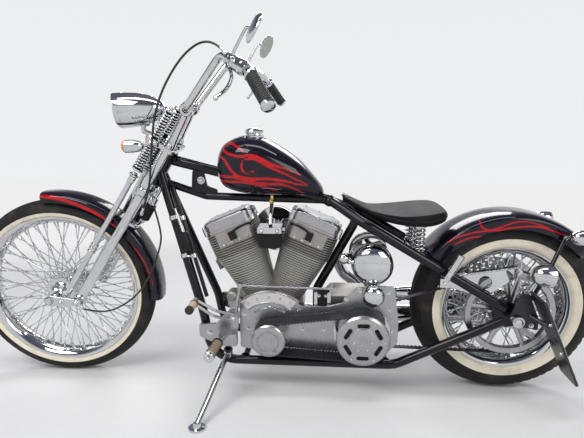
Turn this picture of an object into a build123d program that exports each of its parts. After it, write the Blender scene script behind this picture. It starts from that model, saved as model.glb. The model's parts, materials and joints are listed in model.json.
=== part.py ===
from build123d import *
import math
import os

# Chopper motorcycle with a rigid frame, leaning on its side stand.
# The bike is drawn upright and steering straight: x runs rearwards from the front tyre's contact,
# y to the rider's right, z up from the floor. Steering, lean and origin are applied at the end.
# All sizes are in millimetres.

# Stance
WHEELBASE = 1622.0
RAKE = 33.0
TRAIL = 120.0
LEAN = 7.0
STEER_AT_REST = 3.7
STEER_LOCK = 32.0

# Wheels and tyres
FRONT_RIM_RADIUS = 280.0
FRONT_TYRE_HEIGHT = 63.0
FRONT_TYRE_RADIUS = FRONT_RIM_RADIUS + FRONT_TYRE_HEIGHT
FRONT_TYRE_HALF_WIDTH = 46.0
FRONT_RIM_HALF_WIDTH = 30.0
REAR_RIM_RADIUS = 216.0
REAR_TYRE_HEIGHT = 105.0
REAR_TYRE_RADIUS = REAR_RIM_RADIUS + REAR_TYRE_HEIGHT
REAR_TYRE_HALF_WIDTH = 68.0
REAR_RIM_HALF_WIDTH = 52.0
CROWN_DROP = 0.28
CROWN_SPAN = 0.86
SPOKES_PER_WHEEL = 40
SPOKE_RADIUS = 2.2
AXLE_RADIUS = 9.5
AXLE_GAP = 0.4
FRONT_FLANGE_RADIUS = 52.0
FRONT_FLANGE_Y = 38.0
FRONT_HUB_HALF_WIDTH = 89.0
REAR_FLANGE_RADIUS = 60.0
REAR_FLANGE_Y = 44.0
REAR_HUB_HALF_WIDTH = 104.0
REAR_DISC_Y = 84.0
REAR_DISC_RADIUS = 146.0
FRONT_FENDER_GAP = 23.0
REAR_FENDER_GAP = 15.0

# Frame tubes
TUBE_RADIUS = 16.0
RAIL_HEIGHT = 125.0
RAIL_SPREAD = 120.0
STAY_SPREAD = 124.0
NECK_RADIUS = 25.0
NECK_LOW = 890.0
NECK_HIGH = 1028.0
BACKBONE_START = 994.0
DOWNTUBE_START = 940.0
STEM_RADIUS = 13.0
BEARING_GAP = 0.4
AXLE_PLATE_THICKNESS = 8.0
BACKBONE_END = (1000.0, 0.0, 690.0)
STAY_BEND = (1120.0, 628.0)
STAY_END = (WHEELBASE - 30, 350.0)
SEAT_BRIDGE_X = 1304.0
PASSENGER_PEG_X = WHEELBASE - 242

# Fork, measured along the steering axis from the floor and across it
LEG_SPREAD_LOW = 105.0
LEG_SPREAD_HIGH = 80.0
LEG_WIDTH_LOW = 37.0
LEG_WIDTH_HIGH = 26.0
LEG_THICKNESS = 20.0
FLUTE_RADIUS = 6.0
SPRING_LEG_RADIUS = 11.0
SPRING_LEG_AHEAD = 54.0
ROCKER_RISE = 48.2
ROCKER_GAP = 12.5
FENDER_LUG_GAP = 19.6
CROWN_LOW = 868.0
CROWN_HIGH = 1040.0
CROWN_THICKNESS = 16.0
SPRING_SPREAD = 64.0
SPRING_RADIUS = 19.5
SPRING_COILS = 10
SPRING_LENGTH = 104.0

BAR_RADIUS = 12.7
HANDLEBAR_PATH = [(226, -432, 1366), (130, -330, 1408), (2, -112, 1402), (-16, -76, CROWN_HIGH + 146),
                  (-16, 76, CROWN_HIGH + 146), (2, 112, 1402), (130, 330, 1408), (226, 432, 1366)]

# Engine, a 45 degree twin
CRANK_X = 798.0
CRANK_Z = 233.0
CYLINDER_ANGLE = 22.5
CASE_HALF_WIDTH = 82.0
CASE_RADIUS = 118.0
BARREL_RADIUS = 56.0
FIN_RADIUS_LOW = 66.0
FIN_RADIUS_HIGH = 82.0
FIN_THICKNESS = 3.0
FIN_PITCH = 8.6
BARREL_START = 130.0
HEAD_START = 300.0
HEAD_TOP = 392.0
HEAD_LENGTH = 186.0
HEAD_WIDTH = 148.0
PORT_BLOCK_START = 340.0
PORT_BLOCK_LENGTH = 130.0
ROCKER_TOP = 438.0
ROCKER_LENGTH = 174.0
ROCKER_WIDTH = 130.0

# Drive, on the left side
MAINSHAFT_X = 1118.0
MAINSHAFT_Z = 245.0
MOTOR_PLATE_Y = -112.0
MOTOR_PLATE_THICKNESS = 8.0
PRIMARY_BELT_Y = -150.0
PRIMARY_BELT_WIDTH = 62.0
PRIMARY_BELT_THICKNESS = 6.0
PRIMARY_TOOTH_PITCH = 11.0
FRONT_PULLEY_RADIUS = 50.0
CLUTCH_PULLEY_RADIUS = 80.0
FRONT_COVER_RADIUS = 59.0
CLUTCH_COVER_RADIUS = 91.0
FINAL_BELT_Y = -86.0
FINAL_BELT_WIDTH = 20.0
FINAL_BELT_THICKNESS = 5.0
FINAL_TOOTH_PITCH = 14.0
PULLEY_GAP = 0.4
PUSHROD_RADIUS = 8.0
PUSHROD_NOTCH_RADIUS = 8.6
RING_GEAR_RADIUS = 101.0
RING_GEAR_TEETH = 84
ARCH_RADIUS = 156.0
ARCH_INNER_RADIUS = 112.0
STARTER = (1153.0, 384.0)
GEARBOX_PULLEY_RADIUS = 62.0
REAR_PULLEY_RADIUS = 148.0
REAR_PULLEY_TEETH = 68

OIL_TANK = (1150.0, 482.0)
OIL_TANK_RADIUS = 70.0

# Side stand
STAND_PIVOT = (652.0, -152.0, 172.0)
STAND_FOOT_OUT = 409.0
STAND_FOLDED = (0.966, -0.131, -0.221)
STAND_RADIUS = 10.0
STAND_PIN_RADIUS = 8.0
STAND_EYE_HEIGHT = 28.0
FLUSH_GAP = 0.25


def tube(points, radius, bends=None):
    """Round bar along straight runs, with arcs of the given radii at the corners."""
    if len(points) == 2:
        path = Line(*points)
    else:
        path = FilletPolyline(*points, radius=bends)
    start = Plane(origin=path @ 0, z_dir=path % 0)
    return sweep(start * Circle(radius), path=path)


def bar(start, end, radius):
    """Straight round bar between two points."""
    run = Vector(*end) - Vector(*start)
    return Plane(origin=start, z_dir=run) * extrude(Circle(radius), run.length)


def taper(start, end, radius_start, radius_end):
    """Straight cone between two points."""
    run = Vector(*end) - Vector(*start)
    solid = Cone(radius_start, radius_end, run.length, align=(Align.CENTER, Align.CENTER, Align.MIN))
    return Plane(origin=start, z_dir=run) * solid


def turned(outline, centre, direction=(0, 1, 0)):
    """Solid of revolution: outline holds (radius, along) corners, turned about direction at centre."""
    face = make_face(Plane.XZ * Polyline(*outline, close=True))
    return Plane(origin=centre, z_dir=direction) * revolve(face, Axis.Z)


def mirrored(solid):
    """The same piece on the other side of the bike."""
    return mirror(solid, Plane.XZ)


def fuse(pieces):
    first, *rest = pieces
    return first.fuse(*rest) if rest else first


def side_plate(corners, y, thickness, rounding=0.0):
    """Plate in the side view: corners are (x, z), y is the middle of its thickness."""
    outline = make_face(Plane.XZ * Polyline(*corners, close=True))
    if rounding:
        outline = fillet(outline.vertices(), rounding)
    return Pos(0, y, 0) * extrude(outline, thickness / 2, both=True)


# Steering axis: local z runs up it, local x across it towards the rear
steering = Location((-TRAIL, 0, 0), (0, RAKE, 0))


def on_fork(x, y, z):
    """Bike point for a point given across, beside and along the steering axis."""
    return tuple((steering * Pos(x, y, z)).position)


# Parked position: the whole bike leans about its line of contact, the fork turns about its axis
leaning = Location((0, 0, 0), (LEAN, 0, 0))
turning = steering * Location((0, 0, 0), (0, 0, STEER_AT_REST)) * steering.inverse()


def crown_radius(height, half_width):
    """Radius of a tyre's tread arc, which spans CROWN_SPAN of its width and CROWN_DROP of its height."""
    drop = CROWN_DROP * height
    chord = CROWN_SPAN * half_width
    return (chord ** 2 + drop ** 2) / (2 * drop)


def axle_height(place, radius, rim, half_width):
    """Height in the drawing at which a wheel's axle must lie for its tyre to touch the floor when parked."""
    crown = crown_radius(radius - rim, half_width)
    low = (place * Pos(0, 0, 0)).position.Z
    rise = (place * Pos(0, 0, 1)).position.Z - low
    slant = (place * Pos(0, 1, 0)).position.Z - low
    reach = (radius - crown) * math.sqrt(1 - slant ** 2) + crown
    return (reach - low) / rise


FRONT_AXLE = Vector(0, 0, axle_height(leaning * turning, FRONT_TYRE_RADIUS, FRONT_RIM_RADIUS, FRONT_TYRE_HALF_WIDTH))
REAR_AXLE = Vector(WHEELBASE, 0, axle_height(leaning, REAR_TYRE_RADIUS, REAR_RIM_RADIUS, REAR_TYRE_HALF_WIDTH))
fork_axle = (steering.inverse() * Pos(*FRONT_AXLE)).position
ROCKER_PIVOT = fork_axle.Z + ROCKER_RISE
ROCKER_Y = LEG_SPREAD_LOW + LEG_THICKNESS / 2 + ROCKER_GAP


def above_front_tyre(across, gap):
    """Height on the fork at which a point across the steering axis lies this gap clear of the front tyre."""
    return fork_axle.Z + math.sqrt((FRONT_TYRE_RADIUS + gap) ** 2 - (across - fork_axle.X) ** 2)


FENDER_LUG_Z = above_front_tyre(-4, FENDER_LUG_GAP)


def stay_height(x):
    """Height of the upper stays' straight run at x."""
    return STAY_BEND[1] + (x - STAY_BEND[0]) * (STAY_END[1] - STAY_BEND[1]) / (STAY_END[0] - STAY_BEND[0])


SEAT_BRIDGE_Z = stay_height(SEAT_BRIDGE_X)


def leg_spread(z):
    """Distance of a rigid leg's middle from the fork's plane at a height on the fork."""
    share = (z - ROCKER_PIVOT) / (CROWN_HIGH + CROWN_THICKNESS / 2 - ROCKER_PIVOT)
    return LEG_SPREAD_LOW + share * (LEG_SPREAD_HIGH - LEG_SPREAD_LOW)


def toothed_ring(centre, root, tip, teeth):
    """Corners of a toothed outline in the side view: each tooth has two flanks and a flat tip."""
    corners = []
    for number in range(teeth):
        for share, radius in ((0.0, root), (0.14, tip), (0.5, tip), (0.64, root)):
            a = 2 * math.pi * (number + share) / teeth
            corners.append((centre[0] + radius * math.cos(a), centre[1] + radius * math.sin(a)))
    return corners


def tyre(centre, outer, half_width, rim, rim_half_width, lip):
    """Closed round tyre seated on its rim."""
    height = outer - rim
    outline = [Vector(rim - lip, rim_half_width - 8), Vector(rim - lip, -(rim_half_width - 8))]
    low = Vector(rim, -rim_half_width)
    high = Vector(rim, rim_half_width)
    crown = ThreePointArc(Vector(outer - CROWN_DROP * height, -CROWN_SPAN * half_width), Vector(outer, 0),
                          Vector(outer - CROWN_DROP * height, CROWN_SPAN * half_width))
    wall = ThreePointArc(low, Vector(rim + 0.42 * height, -half_width), crown @ 0)
    wall_2 = ThreePointArc(crown @ 1, Vector(rim + 0.42 * height, half_width), high)
    edges = [Line(high, outline[0]), Line(*outline), Line(outline[1], low), wall, crown, wall_2]
    face = make_face(Plane.XZ * Curve(edges))
    return Plane(origin=centre, z_dir=(0, 1, 0)) * revolve(face, Axis.Z)


def rim_and_spokes(centre, rim, rim_half_width, lip, hub_radius, flange_radius, flange_y, hub_half_width):
    """Dished rim, laced spokes and a flanged hub bored for the axle."""
    seat = rim - lip
    half = [(seat - 0.4, rim_half_width - 8), (rim - 0.4, rim_half_width + 0.6), (rim + 5, rim_half_width + 7.5),
            (rim + 5, rim_half_width + 10.5), (rim - 6, rim_half_width + 6), (seat - 6, rim_half_width - 6),
            (seat - 13, 12)]
    profile = half + [(radius, -across) for radius, across in reversed(half)]
    pieces = [turned(profile, centre)]
    hub = [(AXLE_RADIUS + AXLE_GAP, hub_half_width), (hub_radius, hub_half_width), (hub_radius, flange_y + 4),
           (flange_radius, flange_y + 3), (flange_radius, flange_y - 3), (hub_radius, flange_y - 5),
           (hub_radius, 5 - flange_y), (flange_radius, 3 - flange_y), (flange_radius, -3 - flange_y),
           (hub_radius, -4 - flange_y), (hub_radius, -hub_half_width), (AXLE_RADIUS + AXLE_GAP, -hub_half_width)]
    pieces.append(turned(hub, centre))
    for number in range(SPOKES_PER_WHEEL):
        side = 1 if number % 2 else -1
        lean = 1 if number % 4 < 2 else -1
        foot = 2 * math.pi * number / SPOKES_PER_WHEEL
        nipple = foot + lean * 0.32
        low = (flange_radius - 5, foot, side * flange_y)
        high = (seat - 10, nipple, side * 5)
        ends = [centre + Vector(r * math.cos(a), y, r * math.sin(a)) for r, a, y in (low, high)]
        pieces.append(bar(tuple(ends[0]), tuple(ends[1]), SPOKE_RADIUS))
    return fuse(pieces)


def stand_foot():
    """Middle of the stand's foot pad in the drawing, so that the pad is flat on the floor when parked."""
    return leaning.inverse() * Pos(604, -STAND_FOOT_OUT, 0)


def stand_axis():
    """Axis of the side stand's pin: square to the leg when it is out and when it is folded back."""
    leg = Vector(*stand_foot().position) - Vector(*STAND_PIVOT)
    return leg.cross(Vector(*STAND_FOLDED)).normalized()


def make_stand_lug():
    pivot = Vector(*STAND_PIVOT)
    axis = stand_axis()
    half = STAND_EYE_HEIGHT / 2
    low = pivot - axis * (half + 8.5)
    shank = bar(tuple(low), tuple(pivot + axis * (half + 5)), STAND_PIN_RADIUS)
    ear = bar(tuple(low), tuple(pivot - axis * (half + 0.5)), 15)
    cap = bar(tuple(pivot + axis * (half + 0.5)), tuple(pivot + axis * (half + 6)), 12)
    arm = bar((pivot.X, -RAIL_SPREAD, RAIL_HEIGHT + 6), tuple(pivot - axis * (half + 4.5)), 9)
    return fuse([shank, ear, cap, arm])


def make_rear_wheel():
    """Spoked wheel with its belt pulley on the left of the hub and the brake disc on the right."""
    wheel = rim_and_spokes(REAR_AXLE, REAR_RIM_RADIUS, REAR_RIM_HALF_WIDTH, 12, 36, REAR_FLANGE_RADIUS,
                           REAR_FLANGE_Y, REAR_HUB_HALF_WIDTH)
    half = FINAL_BELT_WIDTH / 2 + 1
    middle = (REAR_AXLE.X, FINAL_BELT_Y, REAR_AXLE.Z)
    teeth = toothed_ring((REAR_AXLE.X, REAR_AXLE.Z), REAR_PULLEY_RADIUS - 2.4, REAR_PULLEY_RADIUS, REAR_PULLEY_TEETH)
    inside = REAR_PULLEY_RADIUS - 14
    pulley = side_plate(teeth, FINAL_BELT_Y, 2 * half) - turned(
        [(0, -half - 1), (inside, -half - 1), (inside, half + 1), (0, half + 1)], middle)
    pulley = pulley.fuse(turned([(36, -3), (inside + 1, -3), (inside + 1, 3), (36, 3)], middle))
    disc = turned([(36, -2.5), (REAR_DISC_RADIUS, -2.5), (REAR_DISC_RADIUS, 2.5), (36, 2.5)],
                  (REAR_AXLE.X, REAR_DISC_Y, REAR_AXLE.Z))
    holes = []
    for number in range(5):
        a = math.radians(72 * number)
        x, z = REAR_AXLE.X + 90 * math.cos(a), REAR_AXLE.Z + 90 * math.sin(a)
        holes.append(bar((x, -110, z), (x, -70, z), 24))
        holes.append(bar((x, 75, z), (x, 95, z), 22))
    return fuse([wheel, pulley - holes, disc - holes])


def make_frame():
    t = TUBE_RADIUS
    neck = Plane(steering) * Pos(0, 0, NECK_LOW) * Cylinder(
        NECK_RADIUS, NECK_HIGH - NECK_LOW, align=(Align.CENTER, Align.CENTER, Align.MIN))
    pieces = [neck]
    pieces.append(bar(on_fork(0, 0, BACKBONE_START), BACKBONE_END, 19))
    pieces.append(tube([on_fork(0, 0, NECK_LOW + 18), (560, 0, 700), BACKBONE_END], 14, 60))
    pieces.append(tube([BACKBONE_END, (1104, 0, 634), (960, 0, 360), (960, 0, RAIL_HEIGHT)], t, 40))
    pieces.append(Pos(*BACKBONE_END) * Sphere(20))
    for side in (-1, 1):
        loop = [on_fork(8, side * 12, DOWNTUBE_START), (562, side * 108, 285), (585, side * RAIL_SPREAD, RAIL_HEIGHT),
                (WHEELBASE - 387, side * RAIL_SPREAD, RAIL_HEIGHT), (WHEELBASE - 32, side * STAY_SPREAD, 306)]
        pieces.append(tube(loop, t, [260, 105, 120]))
        stay = [(BACKBONE_END[0], side * 4, BACKBONE_END[2]), (STAY_BEND[0], side * 106, STAY_BEND[1]),
                (STAY_END[0], side * STAY_SPREAD, STAY_END[1])]
        pieces.append(tube(stay, t, 80))
        plate = side_plate([(-62, 285), (-22, 285), (50, 300), (58, 340), (-12, 372), (-62, 385)],
                           side * STAY_SPREAD, AXLE_PLATE_THICKNESS, 12)
        pieces.append(Pos(WHEELBASE, 0, 0) * plate)
    bridges = ((705, RAIL_HEIGHT), (960, RAIL_HEIGHT), (WHEELBASE - 417, RAIL_HEIGHT), (SEAT_BRIDGE_X, SEAT_BRIDGE_Z))
    for x, z in bridges:
        pieces.append(bar((x, -STAY_SPREAD + 10, z), (x, STAY_SPREAD - 10, z), 12))
    pieces.append(make_stand_lug())
    frame = fuse(pieces)
    bore = Plane(steering) * Pos(0, 0, NECK_LOW - 1) * Cylinder(
        STEM_RADIUS + BEARING_GAP, NECK_HIGH - NECK_LOW + 2, align=(Align.CENTER, Align.CENTER, Align.MIN))
    axle_bore = bar((REAR_AXLE.X, -160, REAR_AXLE.Z), (REAR_AXLE.X, 160, REAR_AXLE.Z), AXLE_RADIUS)
    return frame - bore - axle_bore



def make_tank():
    """Teardrop tank with rounded sections, open below over the backbone."""
    # x, half width, bottom z, top z, corner radius
    sections = [(610, 50, 762, 850, 40), (634, 84, 730, 892, 62), (700, 106, 716, 918, 78),
                (800, 104, 713, 896, 74), (900, 76, 708, 828, 50), (978, 26, 702, 738, 15)]
    faces = []
    for x, half, low, high, corner in sections:
        plane = Plane(origin=(x, 0, (low + high) / 2), x_dir=(0, 1, 0), z_dir=(1, 0, 0))
        faces.append(plane * RectangleRounded(2 * half, high - low, corner))
    body = loft(faces)
    run_low = Vector(*on_fork(0, 0, BACKBONE_START))
    tunnel = bar(tuple(run_low), BACKBONE_END, 19 + FLUSH_GAP)
    slot = side_plate([(590, 600), (1010, 600), (1010, 687), (590, 800)], 0, 2 * (19 + FLUSH_GAP))
    cap = turned([(0, 0), (26, 0), (30, 6), (30, 14), (24, 20), (0, 22)], (735, 0, 912), (0.06, 0, 1))
    return (body - tunnel - slot).fuse(cap)


def make_seat():
    """Solo saddle: its side outline kept inside its pear-shaped plan."""
    side = make_face(Plane.XZ * Polyline((1044, 694), (1047, 710), (1090, 690), (1150, 668), (1230, 662),
                                         (1320, 672), (1374, 682), (1396, 668), (1394, 640), (1300, 622),
                                         (1180, 626), (1120, 648), close=True))
    side = fillet(side.vertices(), 6)
    plan = make_face(Polyline((1036, -28), (1120, -60), (1200, -112), (1290, -138), (1370, -118), (1400, -60),
                              (1400, 60), (1370, 118), (1290, 138), (1200, 112), (1120, 60), (1036, 28),
                              close=True))
    plan = fillet(plan.vertices(), 20)
    upright = extrude(side, 150, both=True)
    return upright & Pos(0, 0, 560) * extrude(plan, 200)


def spring_stack(start, end, radius, coils):
    """Coil spring as a stack of rounded turns."""
    run = Vector(*end) - Vector(*start)
    pitch = run.length / coils
    outline = [(radius - 9, 0)]
    for turn in range(coils):
        low = turn * pitch
        outline += [(radius - 4, low + 0.1), (radius, low + pitch * 0.3), (radius, low + pitch * 0.6),
                    (radius - 4, low + pitch * 0.9)]
    outline += [(radius - 9, run.length)]
    return turned(outline, start, tuple(run))


def make_seat_mount():
    pieces = []
    for side in (-1, 1):
        foot = SEAT_BRIDGE_Z + 12.3
        stack = spring_stack((SEAT_BRIDGE_X, side * 72, foot + 5), (SEAT_BRIDGE_X, side * 72, 616), 21, 6)
        top = turned([(0, 0), (24, 0), (24, 5.5), (0, 5.5)], (SEAT_BRIDGE_X, side * 72, 616), (0, 0, 1))
        base = turned([(0, 0), (24, 0), (24, 5), (0, 5)], (SEAT_BRIDGE_X, side * 72, foot), (0, 0, 1))
        pieces.append(fuse([stack, top, base]))
    return pieces


def fender(centre, inner, half_width, skirt, first, last, wall=3.0):
    """Round-sectioned mudguard swept about the axle from one angle to another."""
    crown = 26.0
    outer_line = [(inner - skirt, half_width), (inner - 16, half_width), (inner + wall, half_width - crown),
                  (inner + wall + 7, 0), (inner + wall, crown - half_width), (inner - 16, -half_width),
                  (inner - skirt, -half_width)]
    inner_line = [(inner - skirt, wall - half_width), (inner - 17, wall - half_width),
                  (inner, crown + 1 - half_width), (inner + 6, 0), (inner, half_width - crown - 1),
                  (inner - 17, half_width - wall), (inner - skirt, half_width - wall)]
    face = make_face(Plane.XZ * Polyline(*outer_line, *inner_line, close=True))
    ring = revolve(face, Axis.Z, last - first)
    return Plane(origin=centre, x_dir=(math.cos(math.radians(first)), 0, math.sin(math.radians(first))),
                 z_dir=(0, -1, 0)) * ring


def make_rear_fender():
    inner = REAR_TYRE_RADIUS + REAR_FENDER_GAP
    bridge = Vector(SEAT_BRIDGE_X, 0, SEAT_BRIDGE_Z)
    inward = (REAR_AXLE - bridge).normalized()
    front_edge = math.degrees(math.atan2(-inward.Z, -inward.X)) + 4
    shell = fender(REAR_AXLE, inner, 90, 42, 41, front_edge)
    lug = bar(tuple(bridge + inward * 12.3), tuple(bridge + inward * ((REAR_AXLE - bridge).length - inner - 6)), 12)
    return shell.fuse(lug)


def make_front_fender():
    shell = fender(FRONT_AXLE, FRONT_TYRE_RADIUS + FRONT_FENDER_GAP, 54, 24, -6, 95, 2.5)
    lugs = []
    for side in (-1, 1):
        lugs.append(bar(on_fork(-4, side * 46, FENDER_LUG_Z), on_fork(-2, side * 88, FENDER_LUG_Z), 6))
    return fuse([shell] + lugs)


def make_fender_struts():
    pieces = []
    for side in (-1, 1):
        strut = tube([(24, side * 137, 352), (82, side * 137, 462), (150, side * 97.5, 598)], 7, 60)
        boss = bar((24, side * 128.3, 352), (24, side * 145, 352), 10)
        pieces.append(Pos(WHEELBASE, 0, 0) * fuse([strut, boss]))
    return pieces


def make_oil_tank():
    x, z = OIL_TANK
    r = OIL_TANK_RADIUS
    half = [(r, 100), (r - 5, 112), (r - 18, 123), (r - 38, 130), (0, 134)]
    drum = turned([(radius, -along) for radius, along in reversed(half)] + half, (x, 0, z))
    strap = turned([(r - 1, -88), (r + 2, -88), (r + 2, -70), (r - 1, -70)], (x, 0, z))
    mount = bar((x - 132, 0, z), (x - r + 8, 0, z), 13)
    neck = bar((x - 96, -100, z + 22), (x - r + 6, -98, z + 8), 7)
    knob = Pos(x - 100, -100, z + 24) * Sphere(19)
    return fuse([drum, strap, mirrored(strap), mount, neck, knob])


def cylinder_plane(angle):
    """Plane at the crank with z up one cylinder's axis and x across it."""
    return Plane(origin=(CRANK_X, 0, CRANK_Z), x_dir=(math.cos(math.radians(angle)), 0, -math.sin(math.radians(angle))),
                 z_dir=(math.sin(math.radians(angle)), 0, math.cos(math.radians(angle))))


def make_crankcase():
    case = turned([(0, -CASE_HALF_WIDTH), (CASE_RADIUS - 12, -CASE_HALF_WIDTH), (CASE_RADIUS, -CASE_HALF_WIDTH + 12),
                   (CASE_RADIUS, CASE_HALF_WIDTH - 12), (CASE_RADIUS - 12, CASE_HALF_WIDTH), (0, CASE_HALF_WIDTH)],
                  (CRANK_X, 0, CRANK_Z))
    decks = []
    for angle in (-CYLINDER_ANGLE, CYLINDER_ANGLE):
        deck = cylinder_plane(angle) * Pos(0, 0, 60) * Box(150, 134, BARREL_START - 60, align=(
            Align.CENTER, Align.CENTER, Align.MIN))
        decks.append(deck)
    nose = side_plate([(700, 152), (690, 290), (760, 350), (800, 240), (780, 130)], 0, 120, 14)
    cam = turned([(0, CASE_HALF_WIDTH), (92, CASE_HALF_WIDTH), (92, CASE_HALF_WIDTH + 14),
                  (70, CASE_HALF_WIDTH + 26), (0, CASE_HALF_WIDTH + 30)], (CRANK_X - 6, 0, CRANK_Z + 6))
    arm = bar((664, -74, 362), (716, -50, 322), 9)
    canister = turned([(0, -118), (12, -118), (18, -112), (18, -70), (14, -64), (0, -64)], (662, 0, 362))
    return fuse([case, *decks, nose, cam, arm, canister])


def make_cylinders():
    """Barrels with fins that widen upwards, and finned heads with a plain block between the fins."""
    pieces = []
    for angle in (-CYLINDER_ANGLE, CYLINDER_ANGLE):
        plane = cylinder_plane(angle)
        outline = [(0, BARREL_START), (BARREL_RADIUS, BARREL_START)]
        height = BARREL_START + FIN_PITCH
        while height < HEAD_START - FIN_THICKNESS:
            share = (height - BARREL_START) / (HEAD_START - BARREL_START)
            radius = FIN_RADIUS_LOW + share * (FIN_RADIUS_HIGH - FIN_RADIUS_LOW)
            outline += [(BARREL_RADIUS, height), (radius, height), (radius, height + FIN_THICKNESS),
                        (BARREL_RADIUS, height + FIN_THICKNESS)]
            height += FIN_PITCH
        outline += [(BARREL_RADIUS, HEAD_START), (0, HEAD_START)]
        pieces.append(plane * revolve(make_face(Plane.XZ * Polyline(*outline, close=True)), Axis.Z))
        core = extrude(Rectangle(HEAD_LENGTH - 64, HEAD_WIDTH - 36), HEAD_TOP - HEAD_START)
        pieces.append(plane * Pos(0, 0, HEAD_START) * core)
        while height < HEAD_TOP - FIN_THICKNESS:
            fin = extrude(RectangleRounded(HEAD_LENGTH, HEAD_WIDTH, 38), FIN_THICKNESS)
            pieces.append(plane * Pos(0, 0, height) * fin)
            height += FIN_PITCH
        block = extrude(RectangleRounded(PORT_BLOCK_LENGTH, HEAD_WIDTH + 2, 6), HEAD_TOP - PORT_BLOCK_START)
        pieces.append(plane * Pos(math.copysign(10, -angle), 0, PORT_BLOCK_START) * block)
    return fuse(pieces)


def make_rocker_boxes():
    """Two-part rocker boxes: a lipped base, a tall body, a chamfered cover and four bolt towers."""
    pieces = []
    for angle in (-CYLINDER_ANGLE, CYLINDER_ANGLE):
        parts = []
        # Length and width taken off, corner radius, start and height of each tier above the head
        for less, corner, start, height in ((0, 26, 0, 9), (8, 23, 9, 20), (3, 25, 29, 9)):
            tier = extrude(RectangleRounded(ROCKER_LENGTH - less, ROCKER_WIDTH - less, corner), height)
            parts.append(Pos(0, 0, HEAD_TOP + start) * tier)
        cover = extrude(RectangleRounded(ROCKER_LENGTH - 6, ROCKER_WIDTH - 6, 24), ROCKER_TOP - HEAD_TOP - 38, taper=38)
        parts.append(Pos(0, 0, HEAD_TOP + 38) * cover)
        for across in (-1, 1):
            for beside in (-42, 42):
                tower = Cylinder(9, 24, align=(Align.CENTER, Align.CENTER, Align.MIN))
                parts.append(Pos(across * (ROCKER_LENGTH / 2 + 2), beside, HEAD_TOP) * tower)
        pieces.append(cylinder_plane(angle) * fuse(parts))
    return pieces


def pushrod_lines():
    """Both ends of each pushrod tube."""
    lines = []
    for angle, foot_shift in ((-CYLINDER_ANGLE, -52), (-CYLINDER_ANGLE, -20), (CYLINDER_ANGLE, 20), (CYLINDER_ANGLE, 52)):
        plane = cylinder_plane(angle)
        head = plane.from_local_coords(Vector(foot_shift * 0.9 + (18 if angle < 0 else -18), 83.2, HEAD_TOP + 4))
        foot = Vector(CRANK_X + foot_shift, 91, CRANK_Z + 88)
        lines.append((tuple(foot), tuple(head)))
    return lines


def make_air_cleaner():
    centre = (800, 0, 560)
    carburettor = turned([(0, 0), (24, 0), (24, 92.5), (0, 92.5)], centre)
    manifold = bar((700, 0, 560), (900, 0, 560), 19)
    cover = turned([(0, 92.5), (84, 92.5), (84, 128), (76, 140), (58, 144), (0, 146)], centre)
    return fuse([carburettor, cover, manifold])


def make_gearbox():
    shell = side_plate([(986, 165), (986, 330), (1010, 356), (1170, 356), (1212, 330), (1212, 190), (1190, 165)],
                       0, 136, 12)
    shaft = bar((MAINSHAFT_X, -180, MAINSHAFT_Z), (MAINSHAFT_X, 0, MAINSHAFT_Z), 15)
    pulley = turned([(0, FINAL_BELT_Y - 13), (GEARBOX_PULLEY_RADIUS + 4, FINAL_BELT_Y - 13),
                     (GEARBOX_PULLEY_RADIUS + 4, FINAL_BELT_Y - 11), (GEARBOX_PULLEY_RADIUS, FINAL_BELT_Y - 11),
                     (GEARBOX_PULLEY_RADIUS, FINAL_BELT_Y + 11), (GEARBOX_PULLEY_RADIUS + 4, FINAL_BELT_Y + 11),
                     (GEARBOX_PULLEY_RADIUS + 4, FINAL_BELT_Y + 13), (0, FINAL_BELT_Y + 13)],
                    (MAINSHAFT_X, 0, MAINSHAFT_Z))
    side_cover = turned([(0, 68), (78, 68), (78, 84), (66, 92), (0, 94)], (1100, 0, 262))
    return fuse([shell, shaft, pulley, side_cover])


def make_motor_plate():
    """Plate that ties engine and gearbox, arched over the front pulley, with the starter through it."""
    y, half = MOTOR_PLATE_Y, MOTOR_PLATE_THICKNESS / 2
    outline = [(690, 172), (690, 336), (900, 336), (1000, 336), (1050, 350), (1094, 404), (1160, 416), (1226, 412),
               (1244, 290), (1244, 206), (1205, 160), (1040, 150), (760, 160)]
    plate = side_plate(outline, y, MOTOR_PLATE_THICKNESS, 9)
    arch = bar((CRANK_X, y - half, CRANK_Z), (CRANK_X, y + half, CRANK_Z), ARCH_RADIUS)
    rib = bar((CRANK_X, y - half - 3, CRANK_Z), (CRANK_X, y - half + 1, CRANK_Z), ARCH_RADIUS - 5)
    rib -= bar((CRANK_X, y - 20, CRANK_Z), (CRANK_X, y, CRANK_Z), ARCH_INNER_RADIUS)
    keep = Pos(794, y, 360) * Box(208, 40, 120)
    crank_hole = bar((CRANK_X, -130, CRANK_Z), (CRANK_X, -90, CRANK_Z), 24)
    shaft_hole = bar((MAINSHAFT_X, -130, MAINSHAFT_Z), (MAINSHAFT_X, -90, MAINSHAFT_Z), 24)
    centre = (STARTER[0], 0, STARTER[1])
    front = y - half
    dome = turned([(0, -159), (18, -158), (31, -150), (38, -136), (38, front - 4.5), (22, front - 4.5), (22, front),
                   (0, front)], centre)
    motor = turned([(0, y + half), (24, y + half), (24, 34), (20, 40), (0, 42)], centre)
    solenoid = Pos(980, -90, 354) * Box(58, 35.5, 62)
    # Standoffs to the crankcase and the gearbox: x, z, y of the face they stand on
    standoffs = [(740, 290, -82), (860, 270, -82), (740, 180, -82), (1002, 186, -68), (1002, 330, -68)]
    posts = [bar((x, y, z), (x, face - FLUSH_GAP, z), 10) for x, z, face in standoffs]
    body = plate.fuse(arch & keep, rib & keep) - crank_hole - shaft_hole
    return body.fuse(dome, motor, solenoid, *posts)


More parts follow.
